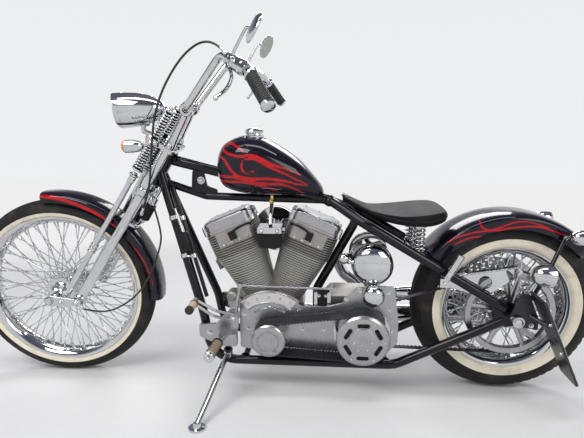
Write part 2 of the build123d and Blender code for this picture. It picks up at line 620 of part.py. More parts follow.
def belt_loop(first, first_radius, second, second_radius, thickness, y, width, pitch):
    """Toothed belt round two pulleys; its teeth reach inwards and share out the loop's length evenly."""
    run = Vector(second[0] - first[0], 0, second[1] - first[1])
    heading = math.atan2(run.Z, run.X)
    open_angle = math.acos((first_radius - second_radius) / run.length)
    straight = math.sqrt(run.length ** 2 - (first_radius - second_radius) ** 2)
    lengths = [2 * open_angle * second_radius, straight, 2 * (math.pi - open_angle) * first_radius, straight]

    def on_pulley(centre, radius, angle):
        return Vector(centre[0] + radius * math.cos(heading + angle), centre[1] + radius * math.sin(heading + angle))

    def on_loop(way, out):
        """Corner at a way along the loop, this far outside the pulleys."""
        way %= sum(lengths)
        if way < lengths[0]:
            return on_pulley(second, second_radius + out, way / second_radius - open_angle)
        way -= lengths[0]
        if way < straight:
            start, end = [on_pulley(c, r + out, open_angle) for c, r in ((second, second_radius), (first, first_radius))]
            return start + (end - start) * (way / straight)
        way -= straight
        if way < lengths[2]:
            return on_pulley(first, first_radius + out, open_angle + way / first_radius)
        start, end = [on_pulley(c, r + out, -open_angle) for c, r in ((first, first_radius), (second, second_radius))]
        return start + (end - start) * ((way - lengths[2]) / straight)

    teeth = round(sum(lengths) / pitch)
    root = PULLEY_GAP + thickness / 2
    corners = []
    for number in range(teeth):
        for share, out in ((0.0, root), (0.12, PULLEY_GAP), (0.5, PULLEY_GAP), (0.62, root)):
            corner = on_loop((number + share) * sum(lengths) / teeth, out)
            corners.append((corner.X, corner.Y))
    inside = side_plate(corners, 0, width + 2)
    ends = [on_pulley(c, r + thickness, side * open_angle) for c, r, side in (
        (first, first_radius, 1), (second, second_radius, 1), (second, second_radius, -1), (first, first_radius, -1))]
    outside = side_plate([(end.X, end.Y) for end in ends], 0, width)
    for centre, radius in ((first, first_radius), (second, second_radius)):
        round_end = bar((centre[0], -width / 2, centre[1]), (centre[0], width / 2, centre[1]), radius + thickness)
        outside = outside.fuse(round_end)
    return Pos(0, y, 0) * (outside - inside)


def make_primary_belt():
    return belt_loop((CRANK_X, CRANK_Z), FRONT_PULLEY_RADIUS, (MAINSHAFT_X, MAINSHAFT_Z), CLUTCH_PULLEY_RADIUS,
                     PRIMARY_BELT_THICKNESS, PRIMARY_BELT_Y, PRIMARY_BELT_WIDTH - 2, PRIMARY_TOOTH_PITCH)


def make_final_belt():
    return belt_loop((MAINSHAFT_X, MAINSHAFT_Z), GEARBOX_PULLEY_RADIUS, (REAR_AXLE.X, REAR_AXLE.Z),
                     REAR_PULLEY_RADIUS, FINAL_BELT_THICKNESS, FINAL_BELT_Y, FINAL_BELT_WIDTH, FINAL_TOOTH_PITCH)


def make_primary_pulleys():
    half = PRIMARY_BELT_WIDTH / 2
    front = turned([(0, half + 10), (FRONT_COVER_RADIUS - 10, half + 10), (FRONT_COVER_RADIUS, half + 2),
                    (FRONT_PULLEY_RADIUS, half), (FRONT_PULLEY_RADIUS, -half), (0, -half)],
                   (CRANK_X, PRIMARY_BELT_Y, CRANK_Z), (0, -1, 0))
    stub = bar((CRANK_X, PRIMARY_BELT_Y + half, CRANK_Z), (CRANK_X, -CASE_HALF_WIDTH - 0.3, CRANK_Z), 20)
    clutch = turned([(15.3, half), (CLUTCH_PULLEY_RADIUS, half), (CLUTCH_PULLEY_RADIUS, -half),
                     (15.3, -half)], (MAINSHAFT_X, PRIMARY_BELT_Y, MAINSHAFT_Z), (0, -1, 0))
    cover = turned([(0, half), (CLUTCH_COVER_RADIUS, half), (CLUTCH_COVER_RADIUS, half + 5),
                    (CLUTCH_COVER_RADIUS - 10, half + 14), (0, half + 14)],
                   (MAINSHAFT_X, PRIMARY_BELT_Y, MAINSHAFT_Z), (0, -1, 0))
    slots = []
    for number in range(6):
        a = math.radians(60 * number + 30)
        middle = Vector(MAINSHAFT_X + 58 * math.cos(a), 0, MAINSHAFT_Z + 58 * math.sin(a))
        plane = Plane(origin=middle, x_dir=(-math.sin(a), 0, math.cos(a)), z_dir=(0, -1, 0))
        slots.append(Pos(0, PRIMARY_BELT_Y - half - 8, 0) * (plane * extrude(SlotOverall(44, 18), 8)))
    middle = (MOTOR_PLATE_Y - MOTOR_PLATE_THICKNESS / 2 + PRIMARY_BELT_Y + half - 1) / 2
    ring = side_plate(toothed_ring((MAINSHAFT_X, MAINSHAFT_Z), RING_GEAR_RADIUS - 6, RING_GEAR_RADIUS, RING_GEAR_TEETH),
                      middle, 2.6)
    ring -= bar((MAINSHAFT_X, middle - 9, MAINSHAFT_Z), (MAINSHAFT_X, middle + 9, MAINSHAFT_Z), 15.3)
    return fuse([front, stub, clutch, cover, ring]) - slots


def make_belt_guard():
    """Guard over the final belt: a shaped side sheet with a window and a bent top, drawn from the rear axle."""
    skirt = side_plate([(-217, 444), (-152, 458), (14, 486), (28, 470), (-62, 400), (-142, 392), (-212, 412)], -100, 2, 5)
    window = bar((-94, -110, 432), (-94, -90, 432), 23)
    front_top = Plane(origin=(-213, -87.5, 444), z_dir=(64, 0, 14)) * extrude(Rectangle(3, 26), 64)
    rear_top = Plane(origin=(-152, -87.5, 457.5), z_dir=(166, 0, 28)) * extrude(Rectangle(3, 26), 168)
    return Pos(WHEELBASE, 0, 0) * fuse([skirt - window, front_top, rear_top])


def make_exhausts():
    front = [(622, 76, 506), (650, 140, 466), (742, 162, 330), (834, 166, 212), (1000, 176, 192), (1120, 182, 190)]
    rear = [(974, 76, 506), (1012, 146, 466), (1062, 168, 360), (1150, 178, 290), (1270, 184, 276)]
    pieces = []
    for points, bends, end in ((front, [50, 90, 90, 90], (1640, 186, 186)), (rear, [50, 70, 70], (1690, 190, 270))):
        pipe = tube(points, 22, bends)
        run = Vector(*end) - Vector(*points[-1])
        length = run.length
        silencer = turned([(0, 0), (22, 0), (32, 60), (35, 120), (35, length - 30), (31, length), (27, length),
                           (27, length - 60), (0, length - 60)], points[-1], tuple(run))
        pieces.append(pipe.fuse(silencer))
    return pieces


def make_electrics():
    coil = Pos(800, -102, 577) * Box(76, 50, 62)
    coil = fillet(coil.edges().filter_by(Axis.Y), 6)
    bracket = Pos(800, -94, 612) * Box(78, 70, 8)
    posts = [bar((x, -116, 604), (x, -116, 620), 6) for x in (773, 827)]
    link = tube([(796, -66, 612), (796, -44, 646), (796, 0, 692)], 7, 20)
    return [fuse([coil, bracket, link, *posts])]


# Outline of the plate that carries a foot peg and its pedal, as (x, z) corners
CONTROL_PLATE = [(552, 226), (600, 206), (660, 206), (690, 260), (690, 330), (662, 330), (612, 276), (552, 272)]


def make_left_controls():
    bracket = side_plate(CONTROL_PLATE, -146, 10, 6)
    boss = bar((570, -112, 248), (570, -145, 248), 12)
    block = Pos(656, -160, 226) * Box(62, 26, 44)
    stem = bar((640, -165, 236), (630, -205, 234), 10)
    pivot = bar((684, -150, 314), (684, -186, 314), 15)
    upper = tube([(684, -176, 322), (620, -182, 338), (556, -196, 384)], 5, 60)
    lower = tube([(684, -176, 304), (612, -182, 318), (556, -196, 366)], 5, 60)
    peg = bar((556, -188, 376), (556, -212, 376), 11)
    arm = bar((684, -163, 318), (702, -163, 424), 6)
    rod = bar((702, -163, 424), (1022, -150, 414), 4)
    rear_eye = bar((1022, -156, 414), (1022, -142, 414), 9)
    front_eye = bar((702, -170, 424), (702, -157, 424), 9)
    return fuse([bracket, boss, block, stem, pivot, upper, lower, peg, arm, rod, rear_eye, front_eye])


def make_right_controls():
    bracket = side_plate(CONTROL_PLATE, 146, 10, 6)
    boss = bar((570, 112, 248), (570, 145, 248), 12)
    stem = bar((640, 150, 236), (630, 205, 234), 9)
    pivot = bar((680, 150, 318), (680, 175, 318), 12)
    lever = bar((680, 170, 318), (556, 196, 376), 6)
    pad = Pos(552, 212, 380) * Rot(0, -25, 0) * Box(14, 56, 44)
    return fuse([bracket, boss, stem, pivot, lever, pad])


def make_peg_rubbers():
    pieces = []
    for side in (-1, 1):
        start = (630, side * 206, 234)
        pieces.append(turned([(0, 0), (16, 0), (16, 88), (19, 90), (19, 98), (0, 100)], start, (-0.1, side, -0.02)))
    pieces.append(turned([(0, 0), (13, 0), (13, 58), (0, 60)], (556, -212.5, 376), (0, -1, 0)))
    return pieces


def make_passenger_pegs():
    pieces = []
    for side in (-1, 1):
        clevis = Pos(0, side * 146, -29) * Box(30, 20, 30)
        tab = bar((6, side * 116, -13), (0, side * 144, -27), 9)
        peg = taper((2, side * 150, -25), (48, side * 152, 65), 10, 11)
        pieces.append(Pos(PASSENGER_PEG_X, 0, stay_height(PASSENGER_PEG_X)) * fuse([clevis, tab, peg]))
    return pieces


def make_plate_holder():
    tilt = Plane(origin=(WHEELBASE + 100, -206, 286), x_dir=(0, 1, 0), z_dir=(0.9, 0, 0.42))
    plate = tilt * extrude(RectangleRounded(104, 306, 8), 4, both=True)
    arm = side_plate([(-26, 330), (-12, 372), (18, 440), (68, 330), (68, 290), (18, 300)], -155, 8, 6)
    arm = Pos(WHEELBASE, 0, 0) * arm
    link = bar((WHEELBASE + 38, -155, 340), (WHEELBASE + 88, -200, 320), 8)
    axle_hole = bar((REAR_AXLE.X, -200, REAR_AXLE.Z), (REAR_AXLE.X, -100, REAR_AXLE.Z), 10)
    return fuse([plate, arm, link]) - axle_hole


def make_lamps_rear():
    lamp = turned([(0, 0), (36, 0), (36, 20), (30, 44), (16, 60), (0, 64)], (72, -196, 492), (-1, 0, 0.1))
    foot = bar((38, -180, 470), (26, -156, 424), 8)
    pieces = [lamp.fuse(foot)]
    for side in (-1, 1):
        body = turned([(0, 0), (16, 6), (24, 24), (26, 60), (24, 74), (0, 78)], (140, side * 146, 604), (1, 0, 0))
        stalk = bar((166, side * 130, 602), (158, side * 96, 596), 6)
        pieces.append(body.fuse(stalk))
    return [Pos(WHEELBASE, 0, 0) * piece for piece in pieces]


def make_rear_brake():
    calliper = side_plate([(28, 395), (84, 380), (130, 428), (54, 484)], REAR_DISC_Y, 44, 8)
    slot = bar((0, REAR_DISC_Y - 7, REAR_AXLE.Z), (0, REAR_DISC_Y + 7, REAR_AXLE.Z), REAR_DISC_RADIUS + 6)
    arm = side_plate([(-22, 300), (28, 300), (70, 400), (38, 424), (-20, 350)], 112.5, 13, 6)
    axle_hole = bar((0, 90, REAR_AXLE.Z), (0, 130, REAR_AXLE.Z), AXLE_RADIUS)
    return Pos(WHEELBASE, 0, 0) * (calliper.fuse(arm) - slot - axle_hole)


def make_rear_axle():
    """Axle bolt with its two spacers and end nuts."""
    outer = STAY_SPREAD + AXLE_PLATE_THICKNESS / 2
    inner = STAY_SPREAD - AXLE_PLATE_THICKNESS / 2
    hub_end = REAR_HUB_HALF_WIDTH + AXLE_GAP
    pieces = [bar((REAR_AXLE.X, -172, REAR_AXLE.Z), (REAR_AXLE.X, outer + 14, REAR_AXLE.Z), AXLE_RADIUS)]
    for radius, start, end in ((16, -inner, -hub_end), (15, -150.7, -outer - 0.3), (15, -171.3, -159.3), (15, outer, outer + 12)):
        pieces.append(turned([(0, start), (radius, start), (radius, end), (0, end)], (REAR_AXLE.X, 0, REAR_AXLE.Z)))
    return fuse(pieces)


def make_leg(side):
    """Rigid leg: a flat oval blade that narrows upwards, with a flute down its outer face and an eye below."""
    top = CROWN_HIGH + CROWN_THICKNESS / 2
    low = Vector(0, side * LEG_SPREAD_LOW, ROCKER_PIVOT)
    high = Vector(0, side * LEG_SPREAD_HIGH, top)
    sections = []
    for end, width in ((low, LEG_WIDTH_LOW), (high, LEG_WIDTH_HIGH)):
        plane = Plane(origin=end, x_dir=(1, 0, 0), z_dir=high - low)
        sections.append(plane * SlotOverall(width, LEG_THICKNESS))
    flute_y = LEG_THICKNESS / 2 + FLUTE_RADIUS / 2
    flute = [(0, side * (leg_spread(z) + flute_y), z) for z in (ROCKER_PIVOT + 45, CROWN_LOW - 50)]
    eye = bar((0, side * (LEG_SPREAD_LOW - 12), ROCKER_PIVOT), (0, side * (LEG_SPREAD_LOW + 12), ROCKER_PIVOT), 20)
    ends = [Pos(*point) * Sphere(FLUTE_RADIUS) for point in flute]
    return fuse([loft(sections), eye]) - fuse([bar(*flute, FLUTE_RADIUS), *ends])


def make_fork_rigid():
    """Stem, rigid legs, crowns, risers and spring rods of the springer fork, as one piece."""
    pieces = [bar((0, 0, CROWN_LOW - 10), (0, 0, CROWN_HIGH + 40), STEM_RADIUS)]
    for side in (-1, 1):
        pieces.append(make_leg(side))
        pin = [(0, side * y, ROCKER_PIVOT) for y in (LEG_SPREAD_LOW - 15, ROCKER_Y + 8)]
        pieces.append(bar(*pin, 10))
        collar = turned([(0, -16), (18, -16), (20, -12), (20, 12), (18, 16), (0, 16)],
                        (0, side * leg_spread(CROWN_LOW), CROWN_LOW), (0, 0, 1))
        pieces.append(collar)
        pieces.append(taper((-4, side * 42, CROWN_HIGH + 7), (-16, side * 42, CROWN_HIGH + 150), 17, 15))
        rod = [(-SPRING_LEG_AHEAD - 3, side * SPRING_SPREAD, CROWN_HIGH + z) for z in (-122, 132)]
        pieces.append(bar(*rod, 5))
    low_crown = extrude(SlotOverall(2 * LEG_SPREAD_HIGH + 40, 44, rotation=90), CROWN_THICKNESS / 2, both=True)
    high_crown = make_face(Polyline((24, -96), (24, 96), (-80, 82), (-80, -82), close=True))
    high_crown = extrude(fillet(high_crown.vertices(), 14), CROWN_THICKNESS / 2, both=True)
    nut = bar((0, 0, CROWN_HIGH + 8), (0, 0, CROWN_HIGH + 34), 24)
    low, high = FENDER_LUG_Z + 32, FENDER_LUG_Z + 39
    damper_bar = tube([(2, -90, high), (36, -70, low), (36, 70, low), (2, 90, high)], 7, 18)
    pieces += [Pos(0, 0, CROWN_LOW) * low_crown, Pos(0, 0, CROWN_HIGH) * high_crown, nut, damper_bar]
    grip = tube(HANDLEBAR_PATH[2:6], BAR_RADIUS + FLUSH_GAP, [40, 40])
    return steering * (fuse(pieces) - grip)


def make_fork_rockers():
    pieces = []
    for side in (-1, 1):
        pivot = Vector(0, side * ROCKER_Y, ROCKER_PIVOT)
        axle = Vector(fork_axle.X, side * ROCKER_Y, fork_axle.Z)
        run = axle - pivot
        corners = [(pivot.X + 8, pivot.Z + 14), (pivot.X + 14, pivot.Z - 8), (axle.X + 8, axle.Z - 20),
                   (axle.X - 20, axle.Z - 8), (axle.X - 10, axle.Z + 18)]
        face = make_face(Plane.XZ * Polyline(*corners, close=True))
        plate = Pos(0, side * ROCKER_Y, 0) * extrude(fillet(face.vertices(), 9), 6, both=True)
        plate = plate - bar((0, -200, ROCKER_PIVOT), (0, 200, ROCKER_PIVOT), 10.2)
        joint = pivot + run * 0.56
        foot = (joint.X, side * (LEG_SPREAD_LOW), joint.Z - 4)
        top = (-SPRING_LEG_AHEAD - 3, side * (SPRING_SPREAD + 4), CROWN_HIGH - 140)
        leg = taper(foot, top, SPRING_LEG_RADIUS + 1, SPRING_LEG_RADIUS - 1)
        pin = bar(tuple(joint), (joint.X, side * (LEG_SPREAD_LOW - 8), joint.Z), 8)
        spacer = bar((axle.X, side * (FRONT_HUB_HALF_WIDTH + 0.4), axle.Z), tuple(axle), 14)
        pieces.append(fuse([plate, leg, pin, spacer]))
    bolt = bar((fork_axle.X, -ROCKER_Y - 14, fork_axle.Z), (fork_axle.X, ROCKER_Y + 14, fork_axle.Z), AXLE_RADIUS)
    return steering * fuse(pieces + [bolt])


def make_fork_springs():
    pieces = []
    x = -SPRING_LEG_AHEAD - 3
    for side in (-1, 1):
        y = side * SPRING_SPREAD
        for low in (CROWN_HIGH - 10 - SPRING_LENGTH, CROWN_HIGH + 10):
            stack = spring_stack((x, y, low), (x, y, low + SPRING_LENGTH), SPRING_RADIUS, SPRING_COILS)
            cup_at = low - 8.3 if low < CROWN_HIGH else low + SPRING_LENGTH
            cup = turned([(0, 0), (18, 0), (20, 4), (18, 8), (0, 8)], (x, y, cup_at), (0, 0, 1))
            bore = bar((x, y, low - 20), (x, y, low + SPRING_LENGTH + 20), 5.3)
            pieces.append(stack.fuse(cup) - bore)
    return [steering * piece for piece in pieces]


def make_damper():
    foot = FENDER_LUG_Z + 46
    sleeve = bar((36, 0, foot), (34, 0, foot + 66), 19)
    body = bar((36, 0, foot), (32, 0, CROWN_LOW - CROWN_THICKNESS / 2 - 0.3), 15)
    eye = bar((36, 0, foot - 14), (36, 0, foot), 8)
    return steering * fuse([sleeve, body, eye])


def make_handlebar():
    return steering * tube(HANDLEBAR_PATH, BAR_RADIUS, [60, 44, 40, 40, 44, 60])


def make_grips():
    pieces = []
    for side in (-1, 1):
        inner = Vector(136, side * 336, 1405.6)
        outer = Vector(226, side * 432, 1366)
        run = (outer - inner).normalized()
        start = inner + run * 4
        outline = [(13, 0), (20, 0), (21, 4), (18, 10), (19, 110), (21, 128), (18, 138), (0, 140), (0, 134.5),
                   (13, 134.5)]
        grip = turned(outline, tuple(start), tuple(run))
        pieces.append(steering * grip)
    return pieces


def make_levers():
    pieces = []
    for side in (-1, 1):
        clamp = turned([(13, -12), (20, -12), (20, 12), (13, 12)], (56, side * 204, 1404.5), (0.5, -side * -0.86, 0))
        perch = bar((40, side * 208, 1398), (66, side * 240, 1380), 9)
        blade = tube([(60, side * 232, 1384), (92, side * 300, 1372), (104, side * 350, 1340), (98, side * 400, 1306)], 6, [30, 30])
        path = [(2, side * 112, 1402), (130, side * 330, 1408)]
        pieces.append(steering * (fuse([clamp, perch, blade]) - bar(*path, 13)))
    return pieces


def make_mirrors():
    pieces = []
    for side in (-1, 1):
        stem = tube([(48, side * 200, 1420), (44, side * 206, 1506), (66, side * 250, 1514)], 5, 14)
        head = turned([(0, -9), (30, -8), (46, 0), (46, 4), (0, 4)], (70, side * 256, 1514), (0.95, side * -0.3, 0.1))
        pieces.append(steering * stem.fuse(head))
    return pieces


def make_headlamp():
    shell = turned([(0, 0), (24, 6), (46, 40), (58, 90), (61, 130), (61, 160), (57, 166), (0, 166)],
                   (430, 0, 1006), (-1, 0, -0.04))
    foot = tube([(350, 0, 960), (344, 0, 930), on_fork(-79.7, 0, CROWN_HIGH)], 9, 8)
    return fuse([shell, foot])


def make_front_indicators():
    pieces = []
    for side in (-1, 1):
        body = turned([(0, 0), (14, 8), (20, 26), (22, 60), (20, 70), (0, 72)], (383, side * 122, 890), (-1, 0, -0.02))
        stalk = bar((362, side * 106, 892), on_fork(-40, side * 87, CROWN_HIGH), 6)
        pieces.append(body.fuse(stalk))
    return pieces


def make_cables():
    """Clutch cable from the left lever and the thin cable from the front axle up to the lower crown."""
    lever_cable = tube([(24, -176, 1412), (-40, -150, 1432), (-100, -120, 1340), (-100, -112, 1160), (-30, -112, 1000),
                        (20, -108, 900), (34, -90, 800)], 3.6, [40, 80, 140, 160, 90])
    axle_cable = tube([(6, -134, 386), (66, -130, 400), (130, -118, 440), (178, -104, 560), (150, -92, 735),
                       (109, -85, 797), (34, -86, 866)], 3.2, [60, 60, 90, 120, 60])
    return [steering * lever_cable, steering * axle_cable]


def make_side_stand():
    pivot = Vector(*STAND_PIVOT)
    axis = stand_axis()
    foot = (stand_foot() * Pos(0, 0, 14)).position
    leg = bar(tuple(pivot), tuple(foot), STAND_RADIUS)
    half = STAND_EYE_HEIGHT / 2
    eye = bar(tuple(pivot - axis * half), tuple(pivot + axis * half), 16)
    bore = bar(tuple(pivot - axis * 30), tuple(pivot + axis * 30), STAND_PIN_RADIUS + 0.4)
    pad = stand_foot() * extrude(Circle(26), 7)
    heel = stand_foot() * (Pos(0, 0, 7) * Cone(14, 11, 14, align=(Align.CENTER, Align.CENTER, Align.MIN)))
    return fuse([leg, eye, pad, heel]) - bore


frame = make_frame()
cylinders = make_cylinders() - fuse([bar(*line, PUSHROD_NOTCH_RADIUS) for line in pushrod_lines()])
crankcase = make_crankcase() - cylinders
fork_legs = make_fork_rigid()
levers = make_levers()
struts = make_fender_struts()
plate_holder = make_plate_holder()
pulleys = make_primary_pulleys()
chassis = {
    "frame": [frame],
    "fuel_tank": [make_tank()],
    "seat": [make_seat()],
    "seat_springs": make_seat_mount(),
    "rear_fender": [make_rear_fender()],
    "fender_struts": struts,
    "oil_tank": [make_oil_tank() - frame],
    "crankcase": [crankcase],
    "cylinders": [cylinders],
    "rocker_boxes": make_rocker_boxes(),
    "pushrod_tubes": [bar(*line, PUSHROD_RADIUS) - crankcase for line in pushrod_lines()],
    "air_cleaner": [make_air_cleaner() - cylinders],
    "gearbox": [make_gearbox()],
    "motor_plate": [make_motor_plate() - frame],
    "primary_belt": [make_primary_belt()],
    "primary_pulleys": [pulleys],
    "final_belt": [make_final_belt()],
    "belt_guard": [make_belt_guard()],
    "exhausts": [pipe - cylinders for pipe in make_exhausts()],
    "electrics": [piece - frame for piece in make_electrics()],
    "left_controls": [make_left_controls() - frame],
    "right_controls": [make_right_controls() - frame],
    "peg_rubbers": make_peg_rubbers(),
    "passenger_pegs": [peg - frame for peg in make_passenger_pegs()],
    "plate_holder": [plate_holder],
    "rear_lamps": [lamp - struts - plate_holder for lamp in make_lamps_rear()],
    "rear_brake": [make_rear_brake()],
    "rear_axle": [make_rear_axle()],
}
steered = {
    "fork_legs": [fork_legs],
    "fork_rockers": [make_fork_rockers()],
    "fork_springs": make_fork_springs(),
    "fork_damper": [make_damper() - fork_legs],
    "handlebar": [make_handlebar()],
    "grips": make_grips(),
    "levers": levers,
    "mirrors": [piece - lever for piece, lever in zip(make_mirrors(), levers)],
    "headlamp": [make_headlamp() - fork_legs],
    "front_indicators": [piece - fork_legs for piece in make_front_indicators()],
    "front_fender": [make_front_fender() - fork_legs],
    "cables": make_cables(),
}
front_wheel = {
    "front_tyre": [tyre(FRONT_AXLE, FRONT_TYRE_RADIUS, FRONT_TYRE_HALF_WIDTH, FRONT_RIM_RADIUS,
                        FRONT_RIM_HALF_WIDTH, 10)],
    "front_wheel": [rim_and_spokes(FRONT_AXLE, FRONT_RIM_RADIUS, FRONT_RIM_HALF_WIDTH, 10, 26, FRONT_FLANGE_RADIUS,
                                   FRONT_FLANGE_Y, FRONT_HUB_HALF_WIDTH)],
}
rear_wheel = {
    "rear_tyre": [tyre(REAR_AXLE, REAR_TYRE_RADIUS, REAR_TYRE_HALF_WIDTH, REAR_RIM_RADIUS, REAR_RIM_HALF_WIDTH, 12)],
    "rear_wheel": [make_rear_wheel()],
}
stand = {"side_stand": [make_side_stand()]}

placed = {}
for group, place in ((chassis, leaning), (steered, leaning * turning), (front_wheel, leaning * turning),
                     (rear_wheel, leaning), (stand, leaning)):
    for name, solids in group.items():
        placed[name] = place * Compound([s for piece in solids for s in piece.solids()])

box = Compound([s for piece in placed.values() for s in piece.solids()]).bounding_box()
origin = Vector((box.min.X + box.max.X) / 2, (box.min.Y + box.max.Y) / 2, box.min.Z)
os.makedirs("parts", exist_ok=True)
for name, piece in placed.items():
    export_step(Pos(*(-origin)) * piece, f"parts/{name}.step")
print("origin", origin, "size", box.size)
for name, piece in placed.items():
    b = piece.bounding_box()
    print(f"{name:18s} solids {len(piece.solids()):3d} vol {piece.volume/1e3:9.1f} zmin {b.min.Z - origin.Z:8.2f}")
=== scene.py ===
import bmesh
import bpy
import json
import math
from mathutils import Matrix, Vector


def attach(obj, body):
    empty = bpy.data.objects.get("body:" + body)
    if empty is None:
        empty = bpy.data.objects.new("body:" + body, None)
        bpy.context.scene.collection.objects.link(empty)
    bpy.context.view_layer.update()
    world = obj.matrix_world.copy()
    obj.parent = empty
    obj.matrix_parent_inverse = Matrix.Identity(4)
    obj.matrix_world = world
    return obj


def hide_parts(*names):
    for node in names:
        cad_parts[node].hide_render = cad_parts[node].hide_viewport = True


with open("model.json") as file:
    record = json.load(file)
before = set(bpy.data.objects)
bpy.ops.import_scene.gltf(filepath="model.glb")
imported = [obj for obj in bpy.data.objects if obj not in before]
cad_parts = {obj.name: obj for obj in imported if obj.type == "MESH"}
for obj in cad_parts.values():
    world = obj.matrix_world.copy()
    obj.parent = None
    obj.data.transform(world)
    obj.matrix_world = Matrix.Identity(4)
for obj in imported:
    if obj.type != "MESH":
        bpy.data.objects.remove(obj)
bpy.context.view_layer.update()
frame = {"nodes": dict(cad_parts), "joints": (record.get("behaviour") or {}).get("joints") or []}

# Placement: the bike is drawn upright and steering straight, in millimetres, x rearwards from the front
# tyre's contact, y to the rider's right and z up. BIKE, STEERED and FORK carry points to where it parks.
MM = 0.001
SIDES = (-1, 1)
LEFT, RIGHT, UP = (0, -1, 0), (0, 1, 0), (0, 0, 1)
LEAN = math.radians(7.0)
RAKE = math.radians(33.0)
STEER_AT_REST = math.radians(3.7)
TRAIL = 120.0
WHEELBASE = 1622.0
STAND_PIVOT = (652.0, -152.0, 172.0)

joints = {joint["name"]: joint for joint in frame["joints"]}
upright = Matrix.Scale(MM, 4) @ Matrix.Rotation(LEAN, 4, "X")
steering = Matrix.Translation((-TRAIL, 0, 0)) @ Matrix.Rotation(RAKE, 4, "Y")
turned = steering @ Matrix.Rotation(STEER_AT_REST, 4, "Z") @ steering.inverted()
shift = Vector(joints["side_stand_fold"]["pos_m"]) - upright @ Vector(STAND_PIVOT)
BIKE = Matrix.Translation(shift) @ upright
STEERED = BIKE @ turned
FORK = STEERED @ steering
FRONT_AXLE = STEERED.inverted() @ Vector(joints["front_wheel_spin"]["pos_m"])
REAR_AXLE = BIKE.inverted() @ Vector(joints["rear_wheel_spin"]["pos_m"])
ORIGIN = -shift / MM


def on_fork(x, y, z):
    """Bike point for a point given across, beside and along the steering axis."""
    return steering @ Vector((x, y, z))


# Finishes

STROKE_GAP = "stroke_gap"
NOISE_ROUGHNESS = 0.55


class Socket:
    """A value in a finish, with the operators that its shader maths needs."""

    def __init__(self, finish, source):
        self.finish = finish
        self.source = source

    def maths(self, operation, first, second):
        return self.finish.node("ShaderNodeMath", {"operation": operation}, {0: first, 1: second})

    def __add__(self, other):
        return self.maths("ADD", self, other)

    def __rsub__(self, other):
        return self.maths("SUBTRACT", other, self)

    def __mul__(self, other):
        return self.maths("MULTIPLY", self, other)

    def __pow__(self, other):
        return self.maths("POWER", self, other)

    __radd__ = __add__
    __rmul__ = __mul__

    def clamped(self):
        return self.finish.node("ShaderNodeClamp", {}, {"Value": self})


class Finish:
    """One surface finish: its material, the record's slot that it belongs to and its shader maths."""

    def __init__(self, name, slot, colour, roughness=0.5, metallic=0.0, **fixed):
        self.slot = slot
        self.material = bpy.data.materials.new(name)
        self.material.use_nodes = True
        self.tree = self.material.node_tree
        self.shader = self.tree.nodes["Principled BSDF"]
        self.set("Base Color", (*colour, 1))
        self.set("Roughness", roughness)
        self.set("Metallic", metallic)
        for socket, value in fixed.items():
            self.set(socket.replace("_", " ").title().replace("Ior", "IOR"), value)
        self.material.diffuse_color = (*colour, 1)

    def plug(self, target, value):
        if isinstance(value, Socket):
            self.tree.links.new(value.source, target)
        else:
            target.default_value = value

    def set(self, socket, value):
        self.plug(self.shader.inputs[socket], value)

    def node(self, kind, settings, inputs, output=0):
        """Adds one node: its settings first, then the values or links of its sockets."""
        made = self.tree.nodes.new(kind)
        for name, value in settings.items():
            setattr(made, name, value)
        for name, value in inputs.items():
            self.plug(made.inputs[name], value)
        return Socket(self, made.outputs[output])

    def place(self):
        return self.node("ShaderNodeTexCoord", {}, {}, "Object")

    def noise(self, scale, detail):
        """Fractal noise from 0 to 1, its grain 1 / scale metres wide."""
        return self.node("ShaderNodeTexNoise", {}, {"Vector": self.place(), "Scale": scale, "Detail": detail,
                                                    "Roughness": NOISE_ROUGHNESS})

    def cell_edges(self, scale):
        """Distance to the nearest edge between cells that are 1 / scale metres wide."""
        return self.node("ShaderNodeTexVoronoi", {"feature": "DISTANCE_TO_EDGE"},
                         {"Vector": self.place(), "Scale": scale})

    def field(self, name):
        """A number kept at the mesh's points."""
        return self.node("ShaderNodeAttribute", {"attribute_name": name}, {}, "Fac")

    def between(self, value, low, high):
        """0 where value is below low, 1 above high, smooth in between."""
        return self.node("ShaderNodeMapRange", {"interpolation_type": "SMOOTHSTEP"},
                         {"Value": value, "From Min": low, "From Max": high})

    def mixed(self, share, first, second):
        """Colour between two others, each a colour or a socket."""
        ends = [(*end, 1) if isinstance(end, tuple) else end for end in (first, second)]
        return self.node("ShaderNodeMix", {"data_type": "RGBA"}, {0: share, 6: ends[0], 7: ends[1]}, 2)

    def vary(self, share, light, dark, low, span):
        """Colour and roughness that follow one share between 0 and 1."""
        self.set("Base Color", self.mixed(share, light, dark))
        self.set("Roughness", low + span * share)

    def rough(self, height, strength, depth):
        """Surface relief from a height between 0 and 1 and its depth in metres."""
        self.set("Normal", self.node("ShaderNodeBump", {}, {"Height": height, "Strength": strength,
                                                            "Distance": depth}))


def black_paint():
    made = Finish("black_gloss", "black_paint", (0.004, 0.004, 0.005), 0.16, coat_weight=0.9,
                  coat_roughness=0.02, coat_ior=1.36, specular_ior_level=0.05)
    made.vary(made.noise(14, 4), (0.003, 0.003, 0.004), (0.008, 0.008, 0.010), 0.12, 0.12)
    made.rough(made.noise(420, 2), 0.05, 0.0002)
    return made


